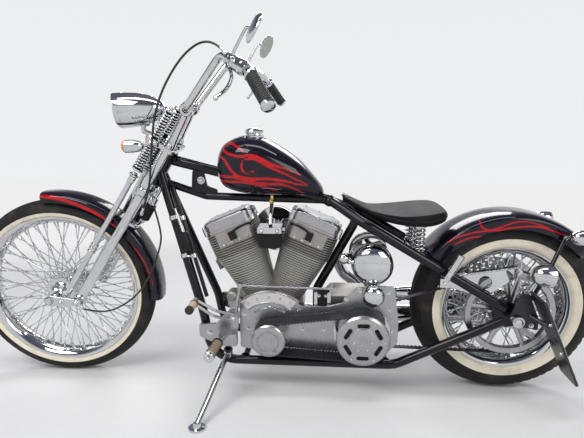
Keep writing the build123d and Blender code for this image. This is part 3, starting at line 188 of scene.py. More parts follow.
def flame_paint():
    """Black gloss with pinstriped flames, from the point field that holds the distance to their strokes."""
    made = Finish("flame_gloss", "flame_paint", (0.004, 0.004, 0.005), 0.2, coat_weight=0.95,
                  coat_roughness=0.015, coat_ior=1.38, specular_ior_level=0.05)
    away = made.field(STROKE_GAP)
    line = 1 - made.between(away, 0.6, 2.0)
    glow = (1 - made.between(away, 0.0, 16.0)) ** 2.0
    flake = made.noise(900, 2)
    red = made.mixed(flake, (0.34, 0.002, 0.005), (0.50, 0.006, 0.009))
    ground = made.mixed(glow * 0.2, (0.005, 0.004, 0.011), (0.08, 0.003, 0.006))
    made.set("Base Color", made.mixed(line, ground, red))
    made.set("Roughness", 0.18 + 0.16 * made.noise(20, 4))
    made.rough(made.noise(380, 2), 0.05, 0.0002)
    return made


def chrome():
    made = Finish("bright_chrome", "chrome", (0.80, 0.81, 0.83), 0.05, 1.0)
    dust = made.noise(16, 5)
    specks = made.between(made.noise(260, 2), 0.62, 0.78)
    made.set("Base Color", made.mixed(dust, (0.68, 0.69, 0.71), (0.50, 0.50, 0.51)))
    made.set("Roughness", 0.02 + 0.06 * dust + 0.08 * specks)
    return made


def polished():
    made = Finish("satin_alloy", "polished_aluminium", (0.66, 0.66, 0.67), 0.3, 1.0)
    made.set("Base Color", made.mixed(made.noise(24, 5), (0.45, 0.45, 0.46), (0.36, 0.36, 0.37)))
    made.set("Roughness", 0.24 + 0.08 * made.noise(34, 3))
    return made


def cast():
    made = Finish("cast_alloy", "cast_aluminium", (0.42, 0.42, 0.42), 0.5, 0.85)
    sand = made.noise(520, 3)
    made.set("Base Color", made.mixed(made.noise(18, 5), (0.46, 0.45, 0.43), (0.24, 0.22, 0.20)))
    made.set("Roughness", 0.36 + 0.24 * sand)
    made.rough(sand, 0.4, 0.0006)
    return made


def fin_metal():
    made = Finish("finned_alloy", "cast_aluminium", (0.55, 0.55, 0.54), 0.42, 0.8)
    made.set("Base Color", made.mixed(made.noise(30, 5), (0.66, 0.65, 0.62), (0.44, 0.43, 0.40)))
    made.set("Roughness", 0.34 + 0.22 * made.noise(200, 3))
    made.rough(made.noise(640, 2), 0.25, 0.0004)
    return made


def tyre_rubber():
    made = Finish("tyre_rubber", "tyre", (0.016, 0.016, 0.016), 0.7, specular_ior_level=0.2)
    dust = made.between(made.noise(11, 6), 0.45, 0.75)
    made.vary(dust, (0.013, 0.013, 0.013), (0.050, 0.046, 0.041), 0.58, 0.3)
    made.rough(made.noise(700, 3), 0.3, 0.0004)
    return made


def whitewall():
    made = Finish("whitewall", "tyre", (0.72, 0.66, 0.52), 0.5)
    grime = made.between(made.noise(22, 6), 0.42, 0.9)
    made.vary(grime, (0.76, 0.70, 0.56), (0.52, 0.45, 0.34), 0.42, 0.25)
    made.rough(made.noise(500, 3), 0.15, 0.0003)
    return made


def leather():
    made = Finish("saddle_leather", "seat_leather", (0.008, 0.008, 0.009), 0.4, specular_ior_level=0.08)
    grain = made.cell_edges(430)
    crease = made.between(grain, 0.0, 0.28)
    wear = made.between(made.noise(9, 4), 0.5, 0.8)
    made.set("Base Color", made.mixed(wear, (0.006, 0.006, 0.007), (0.018, 0.016, 0.017)))
    made.set("Roughness", 0.34 + 0.16 * wear + 0.12 * (1 - crease))
    made.rough(crease + 0.5 * made.noise(80, 3), 0.35, 0.0005)
    return made


def plain(name, slot, light, dark, roughness, grain, depth=0.0003, metallic=0.0, **fixed):
    """A finish whose colour and gloss vary a little, with a fine grain."""
    made = Finish(name, slot, light, roughness, metallic, **fixed)
    made.vary(made.noise(26, 5), light, dark, roughness - 0.06, 0.14)
    made.rough(made.noise(grain, 3), 0.25, depth)
    return made


BLACK = black_paint()
FLAMES = flame_paint()
CHROME = chrome()
POLISHED = polished()
CAST = cast()
FINS = fin_metal()
TYRE = tyre_rubber()
WHITEWALL = whitewall()
LEATHER = leather()
THREAD = plain("seat_thread", "seat_leather", (0.05, 0.05, 0.05), (0.02, 0.02, 0.02), 0.6, 900)
GRIP = plain("grip_rubber", "grip_rubber", (0.016, 0.016, 0.016), (0.008, 0.008, 0.008), 0.55, 600)
BELT = plain("belt_rubber", "belt_rubber", (0.022, 0.023, 0.030), (0.011, 0.011, 0.015), 0.5, 500,
             specular_ior_level=0.35)
PLASTIC = plain("black_plastic", "black_plastic", (0.016, 0.016, 0.017), (0.009, 0.009, 0.009), 0.38, 400,
                specular_ior_level=0.15)
PLATE = plain("plate_black", "black_plate", (0.016, 0.016, 0.018), (0.009, 0.009, 0.010), 0.28, 300)
CABLE = plain("cable_skin", "cable_black", (0.014, 0.014, 0.014), (0.008, 0.008, 0.008), 0.35, 800)
TAN = plain("peg_rubber", "peg_rubber", (0.62, 0.47, 0.33), (0.42, 0.30, 0.20), 0.55, 500)
RED_LENS = plain("red_lens", "chrome", (0.42, 0.006, 0.008), (0.22, 0.003, 0.004), 0.14, 300, coat_weight=1.0)
AMBER_LENS = plain("amber_lens", "chrome", (0.72, 0.20, 0.01), (0.50, 0.12, 0.005), 0.14, 300,
                   coat_weight=1.0)
CLEAR_LENS = plain("clear_lens", "chrome", (0.62, 0.65, 0.68), (0.50, 0.53, 0.56), 0.10, 200, coat_weight=1.0)
GLASS = plain("mirror_glass", "chrome", (0.36, 0.38, 0.34), (0.28, 0.30, 0.26), 0.07, 900, 0.00002, 1.0)
BRIGHT = plain("bright_alloy", "polished_aluminium", (0.74, 0.73, 0.70), (0.60, 0.59, 0.57), 0.22,
               60, 0.00005, 1.0)
BRASS = plain("brass", "chrome", (0.72, 0.50, 0.22), (0.50, 0.33, 0.13), 0.25, 400, metallic=1.0)


# Shapes

def turns(count):
    """Evenly spaced angles of one turn, in radians."""
    return [2 * math.pi * number / count for number in range(count)]


def frames(path, closed=False, up=None):
    """Two directions square to the path at each of its points, carried along without twist."""
    count = len(path)
    runs = []
    for i in range(count):
        after = path[(i + 1) % count] if closed or i < count - 1 else path[i]
        before = path[i - 1] if closed or i else path[i]
        runs.append((after - before).normalized())
    first = Vector(up) if up else Vector(UP) if abs(runs[0].z) < 0.8 else Vector(RIGHT)
    side = runs[0].cross(first).normalized()
    pairs = []
    for i, run in enumerate(runs):
        if i:
            side = runs[i - 1].rotation_difference(run) @ side
            side = (side - run * side.dot(run)).normalized()
        pairs.append((side, run.cross(side)))
    return pairs


def arcs(points, bends, steps=8):
    """Straight runs joined by tangent arcs of the given radii."""
    path = [Vector(points[0])]
    for before, corner, after, bend in zip(points, points[1:], points[2:], bends):
        corner = Vector(corner)
        back = (Vector(before) - corner).normalized()
        ahead = (Vector(after) - corner).normalized()
        half = back.angle(ahead) / 2
        centre = corner + (back + ahead).normalized() * (bend / math.sin(half))
        start = corner + back * (bend / math.tan(half)) - centre
        end = corner + ahead * (bend / math.tan(half)) - centre
        start, end = start.normalized(), end.normalized()
        path += [centre + start.slerp(end, i / steps) * bend for i in range(steps + 1)]
    path.append(Vector(points[-1]))
    return path


def curve(points, steps=8, closed=False):
    """Smooth line through the points."""
    points = [Vector(point) for point in points]
    count = len(points)
    path = []
    for i in range(count if closed else count - 1):
        a, b, c, d = [points[(i + k) % count] if closed else points[min(max(i + k, 0), count - 1)]
                      for k in (-1, 0, 1, 2)]
        for step in range(steps):
            t = step / steps
            path.append(0.5 * (2 * b + (c - a) * t + (2 * a - 5 * b + 4 * c - d) * t ** 2
                               + (3 * b - a - 3 * c + d) * t ** 3))
    return path if closed else path + [points[-1]]


def smooth_numbers(rows, steps):
    """Rows of numbers with smooth rows put in between."""
    made = []
    for i in range(len(rows) - 1):
        a, b, c, d = [rows[min(max(i + k, 0), len(rows) - 1)] for k in (-1, 0, 1, 2)]
        for step in range(steps):
            t = step / steps
            made.append([0.5 * (2 * q + (r - p) * t + (2 * p - 5 * q + 4 * r - s) * t ** 2
                                + (3 * q - p - 3 * r + s) * t ** 3) for p, q, r, s in zip(a, b, c, d)])
    return made + [list(rows[-1])]


def helix(start, end, radius, coils, steps):
    """Coil spring's line, an even spiral from start to end."""
    start, end = Vector(start), Vector(end)
    run = end - start
    across = run.orthogonal().normalized()
    other = run.normalized().cross(across)
    count = int(coils * steps)
    path = []
    for i in range(count + 1):
        t = i / count
        angle = 2 * math.pi * coils * t
        path.append(start + run * t + (across * math.cos(angle) + other * math.sin(angle)) * radius)
    return path


class Shape:
    """Points and faces of one piece in drawing millimetres; each face has one of the piece's finishes."""

    def __init__(self):
        self.points = []
        self.faces = []
        self.marks = []
        self.mark = 0

    def face(self, numbers):
        self.faces.append(tuple(numbers))
        self.marks.append(self.mark)

    def grid(self, rows, loop=False, ring=False, caps=False):
        """Joins rows of points by quads; loop closes each row, ring joins the last row to the first."""
        base, size, count = len(self.points), len(rows[0]), len(rows)
        for row in rows:
            self.points += [Vector(point) for point in row]
        for i in range(count if ring else count - 1):
            low, high = base + i * size, base + (i + 1) % count * size
            for j in range(size if loop else size - 1):
                k = (j + 1) % size
                self.face((low + j, low + k, high + k, high + j))
        if caps:
            self.face(range(base, base + size))
            self.face(range(base + (count - 1) * size, base + count * size))

    def lathe(self, outline, centre, axis=RIGHT, steps=40):
        """Turns (radius, along) corners about an axis."""
        centre, axis = Vector(centre), Vector(axis).normalized()
        across = Vector((1, 0, 0)) if abs(axis.x) < 0.7 else Vector(UP)
        across = (across - axis * across.dot(axis)).normalized()
        other = axis.cross(across)
        rows = []
        for angle in turns(steps):
            out = across * math.cos(angle) + other * math.sin(angle)
            rows.append([centre + out * radius + axis * along for radius, along in outline])
        self.grid(rows, ring=True)

    def pipe(self, path, radius, sides=14, closed=False, flat=1.0, up=None):
        """Round or flattened bar along a path; radius is one number or one for each point."""
        sizes = radius if isinstance(radius, (list, tuple)) else [radius] * len(path)
        path = [Vector(point) for point in path]
        rows = []
        for point, (side, over), size in zip(path, frames(path, closed, up), sizes):
            rows.append([point + side * (size * math.cos(angle)) + over * (size * flat * math.sin(angle))
                         for angle in turns(sides)])
        self.grid(rows, loop=True, ring=closed, caps=not closed)

    def rod(self, start, end, radius, end_radius=None, sides=18):
        self.pipe([start, end], [radius, radius if end_radius is None else end_radius], sides)

    def slab(self, outline, middle, thickness, axes="xz"):
        """Flat plate from the corners of its outline, thick across the third axis."""
        rows = []
        for along in (middle - thickness / 2, middle + thickness / 2):
            rows.append([(a, along, b) if axes == "xz" else (a, b, along) for a, b in outline])
        self.grid(rows, loop=True, caps=True)

    def block(self, centre, size):
        start = len(self.points)
        x, y, z = (value / 2 for value in size)
        self.slab([(-x, -y), (x, -y), (x, y), (-x, y)], 0, 2 * z, "xy")
        self.moved(Matrix.Translation(centre), start)

    def bolt(self, centre, axis, radius, height):
        """Hexagon head on a washer."""
        rim, low = radius * 1.35, height * 0.2
        self.lathe([(0, 0), (rim, 0), (rim, low), (0, low)], centre, axis, 16)
        self.lathe([(0, low), (radius, low), (radius, height * 0.82), (radius * 0.84, height), (0, height)],
                   centre, axis, 6)

    def screw(self, centre, axis, radius, height):
        """Round socket head with its recess."""
        hole, floor = radius * 0.5, height * 0.4
        self.lathe([(0, 0), (radius, 0), (radius, height * 0.8), (radius * 0.86, height), (hole, height),
                    (hole, floor), (0, floor)], centre, axis, 14)

    def acorn(self, centre, axis, radius):
        """Domed cap nut."""
        dome = [(radius * 0.9 * math.cos(a), radius * (0.9 + 0.8 * math.sin(a)))
                for a in (math.radians(15 * n) for n in range(7))]
        self.lathe([(0, 0), (radius, 0), (radius, radius * 0.9), *dome], centre, axis, 12)

    def moved(self, change, start=0):
        for number in range(start, len(self.points)):
            self.points[number] = change @ self.points[number]


def rounded(corners, radius, steps=5):
    """Outline whose corners are rounded, as far as its runs allow."""
    line = []
    for before, corner, after in zip(corners[-1:] + corners[:-1], corners, corners[1:] + corners[:1]):
        back, middle, ahead = (Vector((*point, 0)) for point in (before, corner, after))
        half = (back - middle).angle(ahead - middle) / 2
        room = 0.48 * min((back - middle).length, (ahead - middle).length) * math.tan(half)
        line += [(p.x, p.y) for p in arcs([back, middle, ahead], [min(radius, room)], steps)[1:-1]]
    return line


def stroke_of(centre, radius, first, last, steps):
    """Points on an arc between two angles in degrees."""
    angles = [math.radians(first + (last - first) * i / steps) for i in range(steps + 1)]
    return [(centre[0] + radius * math.cos(a), centre[1] + radius * math.sin(a)) for a in angles]


def spots_at(centre, radius, angles):
    """Points of a circle at these angles in degrees."""
    return [stroke_of(centre, radius, angle, angle, 1)[0] for angle in angles]


def ring_of(centre, radius, count, first=0):
    """Evenly spaced points of a circle, from the first angle in degrees."""
    return spots_at(centre, radius, [first + 360 * number / count for number in range(count)])


def both_sides(half):
    """A half outline of (radius, along) corners and its mirror image, which leaves out the middle."""
    return half + [(radius, -along) for radius, along in reversed(half) if along]


def ball(radius, steps):
    """Half circle of (radius, along) corners from pole to pole."""
    angles = [math.radians(180 * k / steps) for k in range(steps + 1)]
    return [(radius * math.sin(a), -radius * math.cos(a)) for a in angles]


WELD = 0.00001
BEVEL_FROM = math.radians(38)


def welded_mesh(name, shape, place):
    """The shape's mesh in metres, its points welded and its faces turned outwards."""
    mesh = bpy.data.meshes.new(name)
    mesh.from_pydata([place @ point for point in shape.points], [], shape.faces)
    mesh.polygons.foreach_set("material_index", shape.marks)
    sculpt = bmesh.new()
    sculpt.from_mesh(mesh)
    bmesh.ops.remove_doubles(sculpt, verts=sculpt.verts, dist=WELD)
    bmesh.ops.dissolve_degenerate(sculpt, edges=sculpt.edges, dist=WELD)
    bmesh.ops.recalc_face_normals(sculpt, faces=sculpt.faces)
    sculpt.to_mesh(mesh)
    sculpt.free()
    return mesh


def added(name, data):
    """A new object in the scene."""
    made = bpy.data.objects.new(name, data)
    bpy.context.scene.collection.objects.link(made)
    return made


def carved(made, cutter, place):
    """Takes the cutter's closed forms out of the piece."""
    tool = added("cutter", welded_mesh("cutter", cutter, place))
    cut = made.modifiers.new("cut", "BOOLEAN")
    cut.object = tool
    bpy.context.view_layer.update()
    view = bpy.context.evaluated_depsgraph_get()
    made.data = bpy.data.meshes.new_from_object(made.evaluated_get(view))
    made.modifiers.remove(cut)
    bpy.data.objects.remove(tool)


def piece(name, shape, body, finishes, place=BIKE, instead=(), sharp=32, bevel=0.0, cutter=None):
    """Makes the shape's object, shaded smooth up to the sharp angle in degrees."""
    finishes = finishes if isinstance(finishes, (list, tuple)) else [finishes]
    made = added(name, welded_mesh(name, shape, place))
    for finish in finishes:
        made.data.materials.append(finish.material)
    if cutter:
        carved(made, cutter, place)
    made.data.shade_smooth()
    made.data.set_sharp_from_angle(angle=math.radians(sharp))
    if bevel:
        edge = made.modifiers.new("edge", "BEVEL")
        edge.width = bevel * MM
        edge.segments = 2
        edge.limit_method = "ANGLE"
        edge.angle_limit = BEVEL_FROM
        edge.harden_normals = True
    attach(made, body)
    if instead:
        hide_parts(*instead)
    return made


# Wheels and tyres

FRONT = {"axle": FRONT_AXLE, "place": STEERED, "body": "front_wheel_set", "rim": 280, "rim_half": 30}
REAR = {"axle": REAR_AXLE, "place": BIKE, "body": "rear_wheel_set", "rim": 216, "rim_half": 52}
FRONT_TYRE, REAR_TYRE = 343, 321
SIDEWALL, RIB, LUG = range(3)
GROOVE_DEPTH, NOTCH_DEPTH, NOTCH_EVERY = 3.2, 2.8, 4
RIM_STEPS = 120
PULLEY_RADIUS, PULLEY_TEETH, PULLEY_TOOTH = 148, 68, 3.2
PULLEY_Y, DISC_Y, DISC_THICKNESS, DISC_STEPS = -86, 84, 4.5, 150
DISC_INSIDE, DISC_OUTSIDE = 98, 146


def wheel_point(axle, radius, angle, y):
    return Vector((axle.x + radius * math.cos(angle), y, axle.z + radius * math.sin(angle)))


def make_tyre(name, outer, half, white, steps, axle, place, body, rim, rim_half):
    """Tyre with ribs, side lugs and a whitewall band; white holds the band's two radii."""
    height = outer - rim
    chord, drop = 0.86 * half, 0.28 * height
    keys = [(rim - 8, rim_half - 8), (rim - 1, rim_half - 1), (rim + 3, rim_half + 2.5)]
    for share in (0.14, 0.28, 0.42, 0.56):
        keys.append((rim + share * height, half - 0.30 * (half - rim_half) * abs(share - 0.42) / 0.28 * 1.2))
    keys.append((outer - drop, chord))
    tread = [(share * chord, 0.0, LUG) for share in (0.97, 0.90, 0.84, 0.78)]
    for groove, kind in ((0.66, LUG), (0.42, RIB), (0.14, RIB)):
        for away, depth in ((0.045, 0.0), (0.030, GROOVE_DEPTH), (-0.030, GROOVE_DEPTH), (-0.045, 0.0)):
            tread.append(((groove + away) * chord, depth, kind))
    arc = (chord ** 2 + drop ** 2) / (2 * drop)
    outline = [(radius, y, SIDEWALL) for radius, y in smooth_numbers(keys, 5)]
    outline += [(outer - arc + math.sqrt(arc ** 2 - y ** 2) - depth, y, kind) for y, depth, kind in tread]
    outline.append((outer, 0.0, RIB))
    outline += [(radius, -y, kind) for radius, y, kind in reversed(outline[:-1])]
    shape = Shape()
    rows = []
    for number, angle in enumerate(turns(steps)):
        cuts = {LUG: 0.0 if number % NOTCH_EVERY else NOTCH_DEPTH}
        rows.append([wheel_point(axle, radius - cuts.get(kind, 0.0), angle, y)
                     for radius, y, kind in outline])
    shape.grid(rows, ring=True)
    for number, face in enumerate(shape.faces):
        corners = [outline[n % len(outline)] for n in face]
        middle = sum(radius for radius, y, kind in corners) / 4
        if white[0] <= middle <= white[1] and all(kind == SIDEWALL for radius, y, kind in corners):
            shape.marks[number] = 1
    piece(name, shape, body, [TYRE, WHITEWALL], place, [name], sharp=28)


def make_rim(shape, axle, rim, rim_half, lip):
    """Dropped-centre rim with rolled edges."""
    seat = rim - lip
    outline = both_sides([
        (rim + 1, rim_half + 0.5), (rim + 5, rim_half + 4), (rim + 6.5, rim_half + 7.5),
        (rim + 4.5, rim_half + 10), (rim + 1, rim_half + 9.4), (rim - 4, rim_half + 6),
        (seat - 3, rim_half - 1), (seat - 6.5, rim_half - 9), (seat - 10, 16), (seat - 13.5, 9),
        (seat - 14.5, 0)])
    outline += [(seat, -(rim_half - 8)), (seat, rim_half - 8)]
    shape.grid([[wheel_point(axle, radius, angle, y) for radius, y in outline] for angle in turns(RIM_STEPS)],
               loop=True, ring=True)


def make_spokes(shape, axle, count, rim_radius, flange_radius, flange_y, wire, lead):
    """Laced spokes in crossed pairs, each with its nipple at the rim."""
    for number, nipple in enumerate(turns(count)):
        side = 1 if number % 2 else -1
        way = 1 if number % 4 < 2 else -1
        foot = nipple - way * lead
        high = wheel_point(axle, rim_radius, nipple, side * 6)
        low = wheel_point(axle, flange_radius, foot, side * (flange_y + 3 * way))
        run = (high - low).normalized()
        shape.pipe([low, high], wire, 8)
        shape.lathe([(0, -19), (2.9, -19), (3.3, -17), (3.3, -4), (4.6, -2), (4.6, 2), (0, 2)], high, run, 8)
        shape.lathe(both_sides([(0, -3.4), (wire * 1.9, -3.4)]),
                    wheel_point(axle, flange_radius, foot, side * (flange_y + 1)), RIGHT, 8)


def make_wheel(node, lip, spokes, hub, axle, place, body, rim, rim_half):
    """Rim, spokes and hub; hub is the outline of one half, from its bore to the middle."""
    shape = Shape()
    make_rim(shape, axle, rim, rim_half, lip)
    make_spokes(shape, axle, **spokes)
    shape.lathe(both_sides(hub), axle, steps=48)
    piece(node + "_wire", shape, body, CHROME, place, [node], sharp=40)


def ring_plate(shape, axle, y, thickness, radii, holes, steps):
    """Flat ring with rows of holes, which are left out of its grid.

    Each row is its two radii, its count, the holes' share of the way round and the row's turn."""
    size = len(radii)
    for face_y in (y - thickness / 2, y + thickness / 2):
        base = len(shape.points)
        for angle in turns(steps):
            shape.points += [wheel_point(axle, radius, angle, face_y) for radius in radii]
        for i in range(steps):
            for j in range(size - 1):
                middle = (radii[j] + radii[j + 1]) / 2
                if not any(low < middle < high and (i / steps * count + turn) % 1 < share
                           for low, high, count, share, turn in holes):
                    a, b = base + i * size + j, base + (i + 1) % steps * size + j
                    shape.face((a, a + 1, b + 1, b))


def make_rear_drive():
    """Toothed belt pulley on the left of the rear hub and the drilled disc on its right."""
    pulley = Shape()
    rows = []
    for number, angle in enumerate(turns(PULLEY_TEETH * 4)):
        radius = PULLEY_RADIUS - (PULLEY_TOOTH if number % 4 < 2 else 0.0)
        outline = [(128, -83), (132, -97), (150, -98), (150, -96), (radius, -95.5), (radius, -76.5),
                   (150, -76), (150, -74), (132, -75)]
        rows.append([wheel_point(REAR_AXLE, radius, angle, y) for radius, y in outline])
    pulley.grid(rows, loop=True, ring=True)
    for turn in turns(5):
        angle = turn + 0.3
        for spread in (-0.16, 0.16):
            start = wheel_point(REAR_AXLE, 34, angle, PULLEY_Y)
            end = wheel_point(REAR_AXLE, 133, angle + spread, PULLEY_Y)
            pulley.pipe([start, end], [13, 9], 12, flat=0.5, up=RIGHT)
        pulley.screw(wheel_point(REAR_AXLE, 46, angle + 0.3, PULLEY_Y - 2), LEFT, 7, 8)
    pulley.lathe([(36, -90), (58, -89), (60, -86), (58, -83), (36, -82)], REAR_AXLE, steps=48)
    piece("rear_belt_pulley", pulley, "rear_wheel_set", POLISHED, BIKE, sharp=35)
    disc = Shape()
    rows = [(106, 113, 30, 0.4, 0.0), (119, 127, 30, 0.4, 0.33), (132, 139, 30, 0.4, 0.66)]
    radii = [DISC_INSIDE, *(radius for row in rows for radius in row[:2]), DISC_OUTSIDE]
    ring_plate(disc, REAR_AXLE, DISC_Y, DISC_THICKNESS, radii, rows, DISC_STEPS)
    middle = (REAR_AXLE.x, DISC_Y, REAR_AXLE.z)
    for radius in (DISC_OUTSIDE, DISC_INSIDE):
        disc.lathe([(radius, -DISC_THICKNESS / 2), (radius, DISC_THICKNESS / 2)], middle, steps=DISC_STEPS)
    for angle in turns(5):
        start = wheel_point(REAR_AXLE, 34, angle, DISC_Y)
        end = wheel_point(REAR_AXLE, 101, angle + 0.12, DISC_Y)
        disc.pipe([start, end], [15, 11], 12, flat=0.28, up=RIGHT)
        disc.screw(wheel_point(REAR_AXLE, 46, angle, DISC_Y + 2), RIGHT, 7, 8)
    disc.lathe(both_sides([(36, -3), (60, -3)]), middle, steps=48)
    piece("rear_brake_disc", disc, "rear_wheel_set", POLISHED, BIKE, sharp=35)


# Painted bodywork

def stroke_distance(x, z, strokes):
    """Distance from a point of the side view to the nearest flame stroke, less half the stroke's width."""
    best = 1e3
    for line, width in strokes:
        count = len(line) - 1
        for i in range(count):
            a, b = line[i], line[i + 1]
            dx, dz = b[0] - a[0], b[1] - a[1]
            t = max(0.0, min(1.0, ((x - a[0]) * dx + (z - a[1]) * dz) / max(dx * dx + dz * dz, 1e-9)))
            away = math.hypot(x - a[0] - t * dx, z - a[1] - t * dz)
            along = (i + t) / count
            swell = width * min(1.0, 0.25 + 5 * along, 0.12 + 3.2 * (1 - along))
            best = min(best, away - swell / 2)
    return best


def strokes_from(table):
    """Smooth strokes: each row of the table is a width and its (x, z) points."""
    return [([tuple(p)[:2] for p in curve([(x, z, 0) for x, z in points], 6)], width)
            for width, points in table]


def paint_flames(made, place, strokes):
    """Keeps at each point its distance to the strokes, in millimetres of the side view."""
    field = made.data.attributes.new(STROKE_GAP, "FLOAT", "POINT")
    back = place.inverted()
    values = []
    for vertex in made.data.vertices:
        point = back @ vertex.co
        values.append(stroke_distance(point.x, point.z, strokes))
    field.data.foreach_set("value", values)


TANK_FLAMES = [
    (5.5, [(640, 884), (642, 868), (664, 858), (700, 851), (732, 856), (762, 850), (800, 829), (850, 810),
           (905, 786)]),
    (4.5, [(640, 884), (660, 892), (690, 882), (716, 866)]),
    (5.5, [(712, 838), (738, 845), (764, 838), (790, 822), (830, 803), (876, 780), (926, 752)]),
    (6.5, [(618, 852), (646, 838), (664, 812), (688, 789), (722, 780), (758, 778), (800, 777), (846, 770),
           (892, 757), (926, 752)]),
    (4.5, [(712, 838), (706, 818), (716, 800), (740, 800), (760, 812)]),
    (6.0, [(614, 786), (640, 783), (680, 781), (716, 774), (752, 764), (800, 760), (842, 757), (880, 742),
           (912, 722)]),
    (5.5, [(614, 768), (650, 764), (690, 766), (726, 763), (758, 757), (790, 748), (826, 734)]),
]
REAR_FLAMES = [
    (2.8, [(1398, 566), (1440, 590), (1500, 606), (1560, 612), (1610, 622), (1680, 626), (1740, 610),
           (1786, 592)]),
    (2.4, [(1500, 640), (1504, 622), (1530, 612), (1566, 622), (1612, 640), (1660, 640), (1720, 622)]),
    (2.0, [(1420, 560), (1470, 584), (1530, 590), (1590, 586), (1640, 594)]),
]
FRONT_FLAMES = [
    (9.5, [(-40, 706), (20, 702), (80, 686), (140, 660), (190, 630), (240, 590)]),
    (1.6, [(250, 560), (290, 520), (322, 470), (340, 420), (352, 370)]),
]

TANK_STEPS = 108
CAP_X = 736


def make_tank():
    """Teardrop tank as a smooth loft over its sections, with its filler cap and its tap."""
    # x, half width, bottom z, top z, squareness of the corners
    sections = [(609, 30, 778, 832, 2.2), (616, 56, 757, 862, 2.4), (640, 84, 733, 893, 2.6),
                (700, 105, 717, 916, 2.7), (760, 108, 714, 911, 2.7), (800, 103, 713, 895, 2.6),
                (860, 89, 710, 859, 2.5), (900, 76, 708, 828, 2.5), (945, 52, 704, 778, 2.4),
                (970, 34, 702, 746, 2.3), (979, 18, 706, 728, 2.1)]
    shape = Shape()
    rows = []
    for x, half, low, high, square in smooth_numbers(sections, 12):
        middle, rise = (low + high) / 2, (high - low) / 2
        row = []
        for angle in turns(TANK_STEPS):
            c, s = math.cos(angle), math.sin(angle)
            y = half * math.copysign(abs(c) ** (2 / square), c)
            z = rise * math.copysign(abs(s) ** (2 / square), s)
            shoulder = 0.16 * abs(y) * max(0.0, s) * 0.4
            row.append((x, y, middle + z - shoulder))
        rows.append(row)
    shape.grid(rows, loop=True, caps=True)
    tank = piece("fuel_tank_shell", shape, "chassis", FLAMES, BIKE, ["fuel_tank"], sharp=50)
    paint_flames(tank, BIKE, strokes_from(TANK_FLAMES))
    cap = Shape()
    cap.lathe([(0, -4), (34, -4), (34, 2), (29, 4), (28, 9), (31, 11), (32, 17), (30, 22), (22, 26), (10, 28),
               (0, 28.4)], (CAP_X, 0, 913), (-0.03, 0, 1), 48)
    for angle in turns(24):
        x, y = CAP_X + 31.2 * math.cos(angle), 31.2 * math.sin(angle)
        cap.rod((x, y, 925), (x, y, 931), 1.6, sides=8)
    piece("fuel_cap", cap, "chassis", CHROME, sharp=30)
    tap = Shape()
    tap.rod((800, -40, 712), (800, -40, 690), 7)
    tap.rod((800, -58, 694), (800, -30, 694), 6)
    tap.acorn((800, -58, 694), LEFT, 7)
    piece("fuel_tap", tap, "chassis", BRASS)


def make_fender(name, axle, place, body, inner, half, skirt, first, last, wall, flames, steps):
    """Mudguard with a rounded crown, rolled edge beads and its own thickness."""
    crown = []
    for step in range(25):
        a = math.radians(-90 + 7.5 * step)
        across = half * math.copysign(abs(math.sin(a)) ** 0.72, math.sin(a))
        crown.append((inner + 9.5 - 27 * (1 - abs(math.cos(a)) ** 0.62), across))
    outer = [(inner - skirt, -half), *crown, (inner - skirt, half)]
    dense = []
    for (r1, y1), (r2, y2) in zip(outer, outer[1:]):
        parts = max(1, int(math.hypot(r2 - r1, y2 - y1) / 3))
        dense += [(r1 + (r2 - r1) * k / parts, y1 + (y2 - y1) * k / parts) for k in range(parts)]
    dense.append(outer[-1])
    shape = Shape()
    bead = [(inner - skirt - 1.5, half + 0.5), (inner - skirt - 3, half - 2),
            (inner - skirt - 1, half - wall - 1)]
    inside = [(r - wall, y * (half - wall) / half) for r, y in reversed(dense)]
    outline = dense + bead + inside + [(r, -y) for r, y in reversed(bead)]
    rows = []
    for i in range(steps + 1):
        angle = math.radians(first + (last - first) * i / steps)
        edge = min(i, steps - i) / steps
        pinch = 1 - 0.16 * max(0.0, 1 - edge * 14) ** 2
        rows.append([wheel_point(axle, radius, angle, y * pinch) for radius, y in outline])
    shape.grid(rows, loop=True, caps=True)
    made = piece(name + "_shell", shape, body, FLAMES, place, [name], sharp=50)
    paint_flames(made, place, strokes_from(flames))


# Seat

SEAT_STEPS = 27
SEAT_SPRING_X, SEAT_SPRING_Y = 1304, 72


